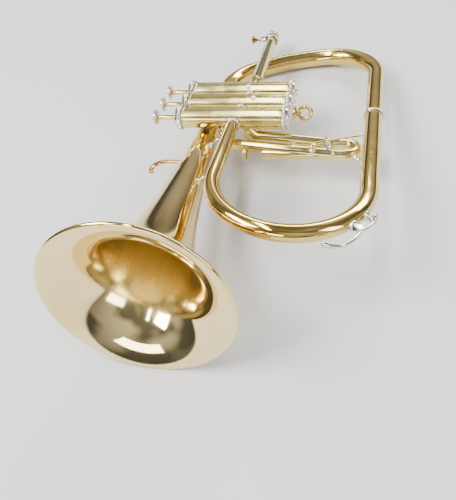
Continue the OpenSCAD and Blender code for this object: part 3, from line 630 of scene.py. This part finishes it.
def build_casing(i):
    low, high = span(f"valve_casing_{i}")
    mid = (low + high) / 2
    r = (high.y - low.y) / 2
    top, bottom = span(f"top_cap_{i}")[0].z, span(f"bottom_cap_{i}")[1].z
    outline = [(r - 1.4, bottom - 1.5), (r - 0.7, bottom - 1.5), (r - 0.7, bottom + 0.1), (r, bottom + 0.1),
               (r + 0.35, bottom + 0.5), (r + 0.35, bottom + 1.7), (r, bottom + 2.1)]
    outline += [(r, lerp(bottom + 3, top - 3, k / 8)) for k in range(9)]
    outline += [(r, top - 2.1), (r + 0.35, top - 1.7), (r + 0.35, top - 0.5), (r, top - 0.1),
                (r - 0.7, top - 0.1),
                (r - 0.7, top + 1.5), (r - 1.4, top + 1.5)]
    data = bmesh.new()
    add_lathe(data, closed_outline([(a, b - bottom) for a, b in outline], 0.25, 3),
              Vector((mid.x, mid.y, bottom)), Z,
              128)
    return finish_mesh(data, f"casing_{i}", satin, ROOT, [f"valve_casing_{i}"])


def build_top_cap(i):
    low, high = span(f"top_cap_{i}")
    mid, r, tall = (low + high) / 2, (high.y - low.y) / 2, high.z - low.z
    outline = closed_outline([(2.9, tall * 0.62), (r - 2.4, tall * 0.62), (r - 2.4, 0), (r - 0.7, 0),
                              (r, 0.6),
                              (r, 3.6), (r - 0.6, 4.1), (r - 0.9, 4.7), (r - 1.3, 5.9), (r - 3.2, tall - 0.5),
                              (6.0, tall - 0.1), (4.6, tall), (2.9, tall - 0.6)], 0.45, 4)
    data = bmesh.new()
    add_lathe(data, outline, Vector((mid.x, mid.y, low.z)), Z, 288, knurl(72, 0.42, 0.5, 3.9))
    return finish_mesh(data, f"top_cap_ring_{i}", nickel, ROOT, [f"top_cap_{i}"])


def build_bottom_cap(i):
    low, high = span(f"bottom_cap_{i}")
    mid, r, tall = (low + high) / 2, (high.y - low.y) / 2, high.z - low.z
    outline = rounded([(0, 0.3), (1.6, 0), (2.6, 0.1), (3.2, 1.2), (3.9, 1.9), (r - 3.4, 1.9), (r - 1.9, 2.6),
                       (r - 1.3, 4.0), (r - 1.3, 4.9), (r - 0.8, 5.1), (r, 5.6), (r, 7.6), (r - 0.6, tall),
                       (r - 2.4, tall), (r - 2.6, 3.3), (0, 2.9)], 0.45, 4)
    data = bmesh.new()
    add_lathe(data, outline, Vector((mid.x, mid.y, low.z)), Z, 288, knurl(48, 0.62, 5.0, 8.0))
    return finish_mesh(data, f"bottom_cap_cup_{i}", nickel, ROOT, [f"bottom_cap_{i}"])


def build_button(i):
    low, high = span(f"finger_button_{i}")
    mid, r, tall = (low + high) / 2, (high.y - low.y) / 2, high.z - low.z + 0.2
    base = Vector((mid.x, mid.y, low.z))
    body = f"valve_{i}"
    outline = rounded([(0, 0), (3.6, 0), (5.0, 0.1), (r - 1.0, 0.45), (r - 0.2, 1.0), (r, 1.6), (r, 2.8),
                       (r - 0.5, tall - 0.15), (r - 1.1, tall - 0.1), (r - 1.25, tall - 0.6), (r - 1.35, 2.2),
                       (0, 2.2)], 0.35, 4)
    data = bmesh.new()
    add_lathe(data, outline, base, Z, 144)
    finish_mesh(data, f"button_{i}", nickel, body, [f"finger_button_{i}"])
    data = bmesh.new()
    add_lathe(data, rounded([(0, 2.15), (r - 1.4, 2.15), (r - 1.35, tall - 0.45), (r - 2.6, tall - 0.12),
                             (0, tall)], 0.5, 5), base, Z, 96)
    finish_mesh(data, f"pearl_{i}", pearl, body, [f"button_pearl_{i}"])
    low, high = span(f"valve_stem_{i}")
    r, tall = (high.y - low.y) / 2, high.z - low.z
    data = bmesh.new()
    outline = [(0, 0), (r, 0), (r, tall - 4.2), (r - 0.35, tall - 3.8), (r - 0.35, tall - 2.8),
               (r, tall - 2.4),
               (r, tall), (0, tall)]
    add_lathe(data, rounded(outline, 0.3, 3), Vector((mid.x, mid.y, low.z)), Z, 64)
    finish_mesh(data, f"stem_{i}", golden, body, [f"valve_stem_{i}"])


def build_spring(i):
    """Wire coil where the CAD has a plain sleeve."""
    low, high = span(f"valve_spring_{i}")
    mid, wire, turns = (low + high) / 2, 0.45, 9
    r = (high.y - low.y) / 2 - wire
    steps = turns * 24
    path = []
    for k in range(steps + 1):
        a = math.tau * turns * k / steps
        t = smooth(min(1, max(0, (k / steps * turns - 0.8) / (turns - 1.6)))) * 0.25 + 0.75 * k / steps
        path.append(Vector((mid.x + r * math.cos(a), mid.y + r * math.sin(a),
                            lerp(low.z + wire, high.z - wire, t))))
    data = bmesh.new()
    add_sweep(data, path, wire, 10)
    coil = finish_mesh(data, f"spring_coil_{i}", steel, ROOT, [f"valve_spring_{i}"])
    row((mid.x, mid.y, low.z))
    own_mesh(coil)


def build_knuckles():
    data = bmesh.new()
    low, high = span("valve_knuckles")
    y = (low.y + high.y) / 2
    for i in (1, 2):
        left, right = span(f"valve_casing_{i}")[1].x, span(f"valve_casing_{i + 1}")[0].x
        z = lerp(centre("mouthpipe").z, EXIT_Z, 0.5 * (i - 1))
        a, b = left - 1.6, right + 1.6
        outline = closed_outline([(4.6, 0), (5.7, 0), (5.7, b - a), (4.6, b - a)], 0.3, 3)
        add_lathe(data, outline, Vector((a, y, z)), X, 72)
        add_lathe(data, ferrule_profile(5.65, 2.2, 0.5), Vector(((left + right) / 2 - 1.1, y, z)), X, 72)
    return finish_mesh(data, "knuckle_tubes", nickel, ROOT, ["valve_knuckles"])


def build_valves():
    for i in (1, 2, 3):
        build_casing(i)
        build_top_cap(i)
        build_bottom_cap(i)
        build_button(i)
        build_spring(i)
    build_knuckles()


# ---------- leadpipe ----------

def build_leadpipe():
    low, high = span("leadpipe_sleeve")
    pipe = centre("mouthpipe")
    y, z, length = pipe.y, pipe.z, high.x - low.x
    base = Vector((low.x, y, z))
    data = bmesh.new()
    outline = [(5.7, 0), (6.2, 0), (6.2, length * 0.9 - 4), (6.55, length * 0.9 - 3.6),
               (6.55, length * 0.9 - 1.6),
               (6.2, length * 0.9 - 1.2), (5.75, length * 0.9), (5.75, length), (4.6, length),
               (4.6, length * 0.88),
               (5.7, length * 0.88)]
    add_lathe(data, closed_outline(outline, 0.35, 3), base, X, 96)
    finish_mesh(data, "leadpipe_outer", pale, ROOT, ["leadpipe_sleeve"])

    low, high = span("clamp_collar")
    screw = joint_at("clamp_screw_turn")
    data = bmesh.new()
    width = high.x - low.x
    add_lathe(data, closed_outline([(6.1, 0), (7.6, 0), (7.6, 1.6), (8.1, 2.0), (8.1, 3.4), (7.6, 3.8),
                                    (7.6, width - 2.6), (8.0, width - 2.2), (8.0, width - 0.9), (7.4, width),
                                    (6.1, width)], 0.4, 3), Vector((low.x, y, z)), X, 96)
    add_lathe(data, closed_outline([(1.7, 5.0), (4.4, 5.0), (4.0, 7.6), (3.5, 9.4), (3.5, 12.2), (3.1, 13.0),
                                    (1.7, 13.0)], 0.5, 4), Vector((screw.x, y, z)), Z, 72)
    finish_mesh(data, "clamp_band", nickel, ROOT, ["clamp_collar"])

    low, high = span("clamp_screw")
    data = bmesh.new()
    tall = high.z - low.z
    outline = rounded([(0, 0), (1.4, 0), (1.6, 0.4), (1.6, 11.4), (1.8, 11.5), (2.1, 13.6), (3.4, 14.3),
                       (4.4, 15.1),
                       (4.4, tall - 1.1), (3.7, tall - 0.3), (1.2, tall), (0, tall)], 0.4, 4)
    add_lathe(data, outline, Vector((screw.x, y, low.z)), Z, 160, knurl(32, 0.5, 14.6, tall - 0.6))
    finish_mesh(data, "thumb_screw", bronze, "clamp_thumb_screw", ["clamp_screw"])

    low, high = span("mouthpipe")
    length = high.x - low.x
    data = bmesh.new()
    outline = [(4.8, 0.6), (5.2, 0), (6.2, 0), (6.6, 0.5), (6.6, 1.5), (6.2, 2.0), (6.5, 2.6), (6.9, 4.8),
               (6.9, 5.4), (5.55, 5.4), (5.55, length), (4.4, length), (4.3, 30), (4.8, 24)]
    add_lathe(data, closed_outline(outline, 0.35, 3), Vector((low.x, y, z)), X, 96)
    finish_mesh(data, "mouthpipe_tube", nickel, "main_slide", ["mouthpipe"])


# ---------- valve slides ----------

SLIDE_R = 5.7
INNER_R = 5.05
ELBOW_R = 9.0


def port_point(i, x, y, z, reach):
    """Where a slide tube meets casing i, on the line from the casing's axis to the leg."""
    mid = centre(f"valve_casing_{i}")
    out = Vector((x - mid.x, y - mid.y, 0)).normalized()
    return Vector((mid.x, mid.y, z)) + out * reach


def leg_path(i, x, y, z_port, z_end):
    return bent([port_point(i, x, y, z_port, 9.6), (x, y, z_port), (x, y, z_end)], ELBOW_R)


def u_path(a, b, axis_point, steps=36):
    """Half circle from a to b that bulges towards axis_point."""
    mid = (a + b) / 2
    out = (axis_point - mid).normalized() * ((b - a).length / 2)
    return [mid + (a - mid) * math.cos(math.pi * k / steps) + out * math.sin(math.pi * k / steps)
            for k in range(steps + 1)]


def add_leg_ring(data, x, y, z, r, width=3.0, proud=0.6):
    add_lathe(data, ferrule_profile(r, width, proud), Vector((x, y, z)), Z, 72)


def build_third_slide():
    low, high = span("third_slide")
    y = (low.y + high.y) / 2
    bx = high.x - SLIDE_R
    ax = bx - 18
    crook_z = low.z + (bx - ax) / 2 + SLIDE_R
    data = bmesh.new()
    add_sweep(data, leg_path(3, ax, y, -41, crook_z + 3), INNER_R, 56)
    add_sweep(data, leg_path(3, bx, y, -20, -126.5), SLIDE_R, 56)
    add_leg_ring(data, bx, y, -44, SLIDE_R, 3, 0.7)
    add_leg_ring(data, bx, y, -126.5, SLIDE_R, 2, 0.5)
    finish_mesh(data, "third_slide_legs", pale, ROOT, ["third_slide_tubes"])
    data = bmesh.new()
    a, b = Vector((ax, y, crook_z)), Vector((bx, y, crook_z))
    add_sweep(data, straight((ax, y, -87), a, 8)[:-1] + u_path(a, b, (a + b) / 2 - Z * 9) + [b + Z * 0.6],
              SLIDE_R, 64)
    add_sweep(data, straight((bx, y, crook_z), (bx, y, -60)), INNER_R, 48)
    add_leg_ring(data, ax, y, -89.6, SLIDE_R, 2.6, 0.5)
    finish_mesh(data, "third_slide_crook", pale, "third_valve_slide", ["third_slide"])
    data = bmesh.new()
    mid = (a + b) / 2
    out = Vector((math.cos(math.radians(35)), 0, -math.sin(math.radians(35))))
    reach = (b - a).length / 2 + SLIDE_R
    add_sweep(data, straight(mid + out * (reach - 1), mid + out * (reach + 4), 6),
              lambda t: lerp(2.6, 1.5, smooth(t)),
              40)
    add_ball(data, mid + out * (reach + 5.6), 3.2)
    finish_mesh(data, "third_slide_pull_knob", nickel, "third_valve_slide", ["third_slide_knob"])


def build_first_slide():
    low, high = span("first_slide")
    y = (low.y + high.y) / 2
    ax, bx = low.x + INNER_R, high.x - INNER_R
    crook_z = low.z + (bx - ax) / 2 + INNER_R
    data = bmesh.new()
    add_sweep(data, leg_path(1, ax, y, -46, crook_z + 2), SLIDE_R, 56)
    add_sweep(data, leg_path(1, bx, y, -32, crook_z + 2), SLIDE_R, 56)
    for x in (ax, bx):
        add_leg_ring(data, x, y, crook_z + 2, SLIDE_R, 3, 0.5)
    finish_mesh(data, "first_slide_legs", pale, ROOT, ["first_slide_tubes"])
    data = bmesh.new()
    a, b = Vector((ax, y, crook_z)), Vector((bx, y, crook_z))
    add_sweep(data, [Vector((ax, y, -57))] + u_path(a, b, (a + b) / 2 - Z * 9) + [Vector((bx, y, -46))],
              INNER_R, 56)
    finish_mesh(data, "first_slide_crook", brass, "first_valve_slide", ["first_slide"])
    low, high = span("first_slide_ring")
    minor = 2.1
    major = 6.3
    middle = Vector(((low.x + high.x) / 2, y, low.z + minor + major))
    across = (X - Y).normalized()
    normal = across.cross(Z)
    data = bmesh.new()
    turned = []
    for a in (math.tau * k / 96 for k in range(96)):
        radial = across * math.cos(a) + Z * math.sin(a)
        turned.append([middle + radial * (major + math.cos(s) * minor) + normal * (math.sin(s) * minor)
                       for s in (math.tau * j / 32 for j in range(32))])
    rings_to(data, turned, close=True, ends=False)
    add_sweep(data, straight(middle + Z * (major - 0.5), middle + Z * (major + 3.2), 6),
              lambda t: lerp(2.0, 3.0, smooth(t)), 40)
    finish_mesh(data, "first_slide_pull_ring", brass, "first_valve_slide", ["first_slide_ring"])


def build_second_slide():
    low, high = span("second_slide")
    x = (low.x + high.x) / 2
    upper, lower = high.z - INNER_R, low.z + INNER_R
    crook_y = low.y + (upper - lower) / 2 + INNER_R
    data = bmesh.new()
    casing = centre("valve_casing_2").y
    for z in (upper, lower):
        add_sweep(data, straight((x, casing - 9.6, z), (x, crook_y + 2, z)), SLIDE_R, 56)
        add_lathe(data, ferrule_profile(SLIDE_R, 3, 0.5), Vector((x, crook_y + 2, z)), Y, 72)
    finish_mesh(data, "second_slide_legs", pale, ROOT, ["second_slide_tubes"])
    data = bmesh.new()
    a, b = Vector((x, crook_y, upper)), Vector((x, crook_y, lower))
    add_sweep(data, [Vector((x, 7, upper))] + u_path(a, b, (a + b) / 2 - Y * 9) + [Vector((x, 7, lower))],
              INNER_R, 56)
    finish_mesh(data, "second_slide_crook", brass, "second_valve_slide", ["second_slide"])


# ---------- braces, hook and water keys ----------

def build_braces():
    """Turned struts with flared feet between the bell and the exit tube, saddles and the rear post."""
    data = bmesh.new()
    towards = Vector((0, EXIT_Y, EXIT_Z)).normalized()
    casing_x = centre("valve_casing_3").x
    for x in (50.0, 113.0):
        tube_r = lerp(*EXIT_R, (x - casing_x) / (FRONT_X - casing_x))
        a = Vector((x, 0, 0)) + towards * (bell_radius_at(x) - 0.4)
        b = Vector((x, EXIT_Y, EXIT_Z)) - towards * (tube_r - 0.4)
        tall = (b - a).length
        outline = rounded([(0, 0), (3.5, 0), (3.3, 0.7), (1.9, 1.8), (1.2, 3.0), (1.2, tall / 2 - 2.2),
                           (1.9, tall / 2 - 1.4), (2.4, tall / 2), (1.9, tall / 2 + 1.4),
                           (1.2, tall / 2 + 2.2),
                           (1.2, tall - 3.0), (1.9, tall - 1.8), (3.2, tall - 0.7), (3.4, tall), (0, tall)],
                           0.7, 4)
        add_lathe(data, outline, a, towards, 56)
    for i in (1, 3):
        mid = centre(f"valve_casing_{i}")
        add_sweep(data, straight((mid.x, bell_radius_at(mid.x) - 1.5, 0), (mid.x, mid.y - 9.6, 0), 8),
                  lambda t: 3.4 + 1.0 * (2 * t - 1) ** 2, 48)
    pipe = centre("leadpipe_sleeve")
    add_sweep(data, straight((-127.5, 10.2, pipe.z - 1), (-127.5, pipe.y - 5.6, pipe.z - 1), 8),
              lambda t: 2.2 + 0.9 * (2 * t - 1) ** 2, 40)
    finish_mesh(data, "brace_posts", nickel, ROOT, ["body_braces"])


def build_hook():
    low, _ = span("finger_hook")
    foot_x = low.x + 5.0
    foot = bell_radius_at(foot_x)
    arch_r, arch_z = 12.0, 28.5
    data = bmesh.new()
    path = straight((foot_x, 0, foot - 0.6), (foot_x, 0, arch_z), 10)
    for k in range(1, 29):
        a = math.pi - math.radians(118) * k / 28
        path.append(Vector((foot_x + arch_r + arch_r * math.cos(a), 0, arch_z + arch_r * math.sin(a))))
    add_sweep(data, path, lambda t: lerp(2.0, 1.7, t), 40, flat=lambda t: lerp(1.9, 2.3, smooth(t)),
              domed=True)
    add_lathe(data, rounded([(0, 0), (5.0, 0), (4.6, 0.9), (2.9, 2.0), (2.1, 3.4), (0, 3.4)], 0.8, 4),
              Vector((foot_x, 0, foot - 0.7)), Z, 56)
    finish_mesh(data, "little_finger_hook", coppery, ROOT, ["finger_hook"])


BOW_MID = Vector((FRONT_X, lerp(EXIT_Y, BOTTOM_Y, 0.5), (EXIT_Z + BOTTOM_Z) / 2))
BOW_R = (EXIT_Z - BOTTOM_Z) / 2
BOW_SLOPE = (EXIT_Y - BOTTOM_Y) / (EXIT_Z - BOTTOM_Z)


def bow_out(degrees):
    a = math.radians(degrees)
    return Vector((math.cos(a), BOW_SLOPE * math.sin(a), math.sin(a))).normalized()


def on_bow(degrees, reach):
    """Point at an angle round the front bow's centre and a distance outside its centreline."""
    return BOW_MID + bow_out(degrees) * (BOW_R + reach)


MAIN_PAD = -62
MAIN_PIVOT = -49


def third_key_line():
    pivot = joint_at("third_water_key_open")
    low, _ = span("third_water_key")
    cork_mid = centre("third_key_cork")
    pad = Vector((cork_mid.x, cork_mid.y - 0.3, cork_mid.z))
    tail = Vector((low.x + 1.8, low.y + 1.8, low.z + 1.8))
    return pad, pivot, tail


def add_ears(data, foot, pin, side, gap=2.1, thick=1.3):
    """Two ears with rounded heads that hold a pivot pin."""
    for s in (-1, 1):
        add_sweep(data, straight(pin + side * (s * gap), pin + side * (s * (gap + thick)), 4), 2.2, 40)
        add_sweep(data, straight(foot + side * (s * (gap + thick / 2)), pin + side * (s * (gap + thick / 2)),
                                 6),
                  lambda t: lerp(1.9, 1.4, t), 24, flat=lambda t: 0.62, hint=side)


def build_saddles():
    data = bmesh.new()
    normal = joint_axis("main_water_key_open")
    pivot = joint_at("main_water_key_open")
    up = bow_out(MAIN_PAD)
    tube_r = lerp(EXIT_R[1], BOTTOM_R[0], (90 - MAIN_PAD) / 180)
    add_lathe(data, rounded([(0, tube_r - 1.4), (4.4, tube_r - 1.4), (4.2, tube_r + 0.5), (2.9, tube_r + 1.6),
                             (2.7, 12.0), (2.3, 12.4), (0, 12.4)], 0.5, 4), on_bow(MAIN_PAD, 0), up, 56)
    foot = on_bow(MAIN_PIVOT, tube_r)
    add_ears(data, foot, pivot, normal)
    add_lathe(data, rounded([(0, tube_r - 1.2), (4.9, tube_r - 1.2), (4.7, tube_r + 0.6), (3.9, tube_r + 1.6),
                             (0, tube_r + 1.7)], 0.5, 4), on_bow(MAIN_PIVOT, 0), bow_out(MAIN_PIVOT), 56)
    pad, pivot, _ = third_key_line()
    side = joint_axis("third_water_key_open")
    leg_y = centre("third_slide").y
    add_lathe(data, rounded([(0, SLIDE_R - 1.5), (4.0, SLIDE_R - 1.5), (3.8, SLIDE_R + 0.5),
                             (2.9, SLIDE_R + 1.2),
                             (2.6, SLIDE_R + 2.8), (0, SLIDE_R + 2.8)], 0.5, 4),
                             Vector((pad.x, leg_y, pad.z)), Y, 48)
    add_ears(data, Vector((pivot.x, leg_y + 4.2, pivot.z)), pivot, side)
    add_lathe(data, rounded([(0, 0), (4.8, 0), (4.8, 4.6), (3.9, 5.7), (0, 5.7)], 0.6, 4),
              Vector((pivot.x + 1.5, leg_y + 1, pivot.z)), Y, 48)
    finish_mesh(data, "key_saddles", nickel, ROOT, ["water_key_saddles"])


def build_pins():
    data = bmesh.new()
    for name in ("main_water_key_open", "third_water_key_open"):
        pivot, side = joint_at(name), joint_axis(name)
        outline = rounded([(0, 0), (0.79, 0), (0.79, 7.2), (1.7, 7.3), (1.7, 7.9), (1.2, 8.2), (0, 8.2)], 0.2,
                          3)
        add_lathe(data, outline, pivot - side * 3.7, side, 40)
    finish_mesh(data, "key_pins", steel, ROOT, ["water_key_pins"])


def build_keys():
    side = joint_axis("main_water_key_open")
    pivot = joint_at("main_water_key_open")
    data = bmesh.new()
    add_lathe(data, closed_outline([(0.9, 0), (2.3, 0), (2.3, 3.6), (0.9, 3.6)], 0.3, 3), pivot - side * 1.8,
              side, 48)
    up = bow_out(MAIN_PAD)
    add_lathe(data, rounded([(0, 14.0), (3.9, 14.0), (4.0, 12.9), (4.5, 12.8), (4.7, 13.6), (4.0, 15.4),
                             (2.2, 16.2),
                             (0, 16.3)], 0.5, 5), on_bow(MAIN_PAD, 0), up, 72)
    path = curve_through([on_bow(MAIN_PAD, 15.4), on_bow(-55, 15.8), on_bow(MAIN_PIVOT, 15.4),
                          on_bow(-41, 19.0),
                          on_bow(-34, 20.4), on_bow(-28.5, 18.0), on_bow(-25, 14.9)], 10)
    add_sweep(data, path, lambda t: 1.5 + 1.1 * smooth((t - 0.6) / 0.4), 32, flat=lambda t: 1.35 + 0.25 * t,
              hint=side.cross(path[1] - path[0]), domed=True)
    finish_mesh(data, "main_key_lever", nickel, "main_spit_key", ["main_water_key"])
    data = bmesh.new()
    add_lathe(data, rounded([(0, 12.45), (3.7, 12.45), (3.8, 12.8), (3.8, 14.0), (0, 14.1)], 0.25, 3),
              on_bow(MAIN_PAD, 0), up, 48)
    finish_mesh(data, "main_key_cork_disc", cork_stuff, "main_spit_key", ["main_key_cork"])

    pad, pivot, tail = third_key_line()
    side = joint_axis("third_water_key_open")
    base_y = span("third_key_cork")[0].y
    data = bmesh.new()
    add_lathe(data, closed_outline([(0.9, 0), (2.1, 0), (2.1, 3.6), (0.9, 3.6)], 0.3, 3), pivot - side * 1.8,
              side, 48)
    add_lathe(data, rounded([(0, 1.6), (4.2, 0.5), (4.4, 1.4), (3.8, 2.9), (2.0, 3.6), (0, 3.7)], 0.5, 5),
              Vector((pad.x, base_y, pad.z)), Y, 64)
    path = curve_through([Vector((pad.x, base_y + 2.9, pad.z)), lerp(pad, pivot, 0.55) + Y * 1.7,
                          pivot + Y * 1.2,
                          lerp(pivot, tail, 0.35) + Y * 0.5, lerp(pivot, tail, 0.75), tail], 10)
    add_sweep(data, path, lambda t: 1.1 + 0.9 * smooth((t - 0.8) / 0.2), 32, flat=lambda t: 1.0, hint=Y,
              domed=True)
    finish_mesh(data, "third_key_lever", golden, "third_spit_key", ["third_water_key"])
    data = bmesh.new()
    add_lathe(data, rounded([(0, 0), (3.4, 0), (3.6, 0.3), (3.6, 1.5), (0, 1.6)], 0.25, 3),
              Vector((pad.x, base_y, pad.z)), Y, 48)
    finish_mesh(data, "third_key_cork_disc", cork_stuff, "third_spit_key", ["third_key_cork"])


# ---------- what keeps its CAD shape ----------

KEPT = {"guide_screws": nickel, "cap_felts": felt, "bell_rim_wire": steel, "water_key_springs": steel,
        "piston_1": nickel, "piston_2": nickel, "piston_3": nickel}


def dress_kept_nodes():
    for name, material in KEPT.items():
        mesh = frame["nodes"][name].data
        mesh.materials.clear()
        mesh.materials.append(material)


# ---------- studio ----------

def plain_floor():
    bpy.ops.mesh.primitive_plane_add(size=40)
    floor = bpy.context.object
    floor.name = "floor"
    material = bpy.data.materials.new("pale_floor")
    material.use_nodes = True
    shader = material.node_tree.nodes["Principled BSDF"]
    shader.inputs["Base Color"].default_value = (0.72, 0.72, 0.73, 1)
    shader.inputs["Roughness"].default_value = 0.65
    floor.data.materials.append(material)


def area_light(name, place, target, size, power, colour=(1, 1, 1)):
    light = bpy.data.lights.new(name, "AREA")
    light.shape = "RECTANGLE"
    light.size, light.size_y = size
    light.energy = power
    light.color = colour
    piece = bpy.data.objects.new(name, light)
    piece.location = place
    piece.rotation_euler = (Vector(target) - Vector(place)).to_track_quat("-Z", "Y").to_euler()
    bpy.context.scene.collection.objects.link(piece)


def studio_light():
    low, high = cad_box
    middle = (Vector(low) + Vector(high)) / 2
    area_light("key_softbox", middle + Vector((-0.9, -0.4, 1.2)), middle, (0.9, 0.6), 38)
    area_light("rear_strip", middle + Vector((0.5, 1.3, 0.9)), middle, (1.5, 0.3), 24, (1.0, 0.96, 0.9))
    area_light("side_fill", middle + Vector((1.3, -0.6, 0.7)), middle, (0.4, 0.9), 12, (0.88, 0.94, 1.0))
    area_light("front_panel", middle + Vector((-0.3, -1.5, 0.5)), middle, (0.8, 0.35), 9, (0.92, 0.96, 1.0))
    area_light("overhead_strip", middle + Vector((-0.22, 0, 1.5)), middle + Vector((-0.22, 0, 0)),
               (0.12, 1.5), 12)
    world = bpy.data.worlds.new("studio")
    bpy.context.scene.world = world
    world.use_nodes = True
    tree = world.node_tree
    back = tree.nodes["Background"]
    coords = tree.nodes.new("ShaderNodeTexCoord").outputs["Generated"]
    split = tree.nodes.new("ShaderNodeSeparateXYZ")
    tree.links.new(coords, split.inputs[0])
    height = ramp(tree, split.outputs["Z"], -0.1, 1.0, 0.15, 1.0)
    panels = ramp(tree, noise(tree, coords, 1.7, 1.0, 0.4), 0.42, 0.58, 0.18, 1.0)
    light = maths(tree, "MULTIPLY", height, panels)
    tree.links.new(socket_mix(tree, light, (0.035, 0.04, 0.055), (1.0, 0.98, 0.95)), back.inputs["Color"])
    back.inputs["Strength"].default_value = 1.1


CAMERA_PLACE = (503.7, 295.6, -155.8)     # mm, in the horn's axes
CAMERA_AIM = (-0.7121, -0.6650, 0.2251)
CAMERA_UP = (-0.6715, 0.7387, 0.0581)
CAMERA_LENS = 41.4


def add_camera():
    camera = bpy.data.cameras.new("camera")
    camera.lens = CAMERA_LENS
    piece = bpy.data.objects.new("camera", camera)
    aim = (AXES @ Vector(CAMERA_AIM)).normalized()
    up = AXES @ Vector(CAMERA_UP)
    right = aim.cross(up).normalized()
    up = right.cross(aim)
    turn = Matrix((right, up, -aim)).transposed()
    piece.matrix_world = Matrix.Translation(row(CAMERA_PLACE)) @ turn.to_4x4()
    bpy.context.scene.collection.objects.link(piece)
    bpy.context.scene.camera = piece


build_bell()
build_main_tubing()
build_ferrules()
build_valves()
build_leadpipe()
build_third_slide()
build_first_slide()
build_second_slide()
build_braces()
build_hook()
build_saddles()
build_pins()
build_keys()
dress_kept_nodes()
plain_floor()
studio_light()
add_camera()
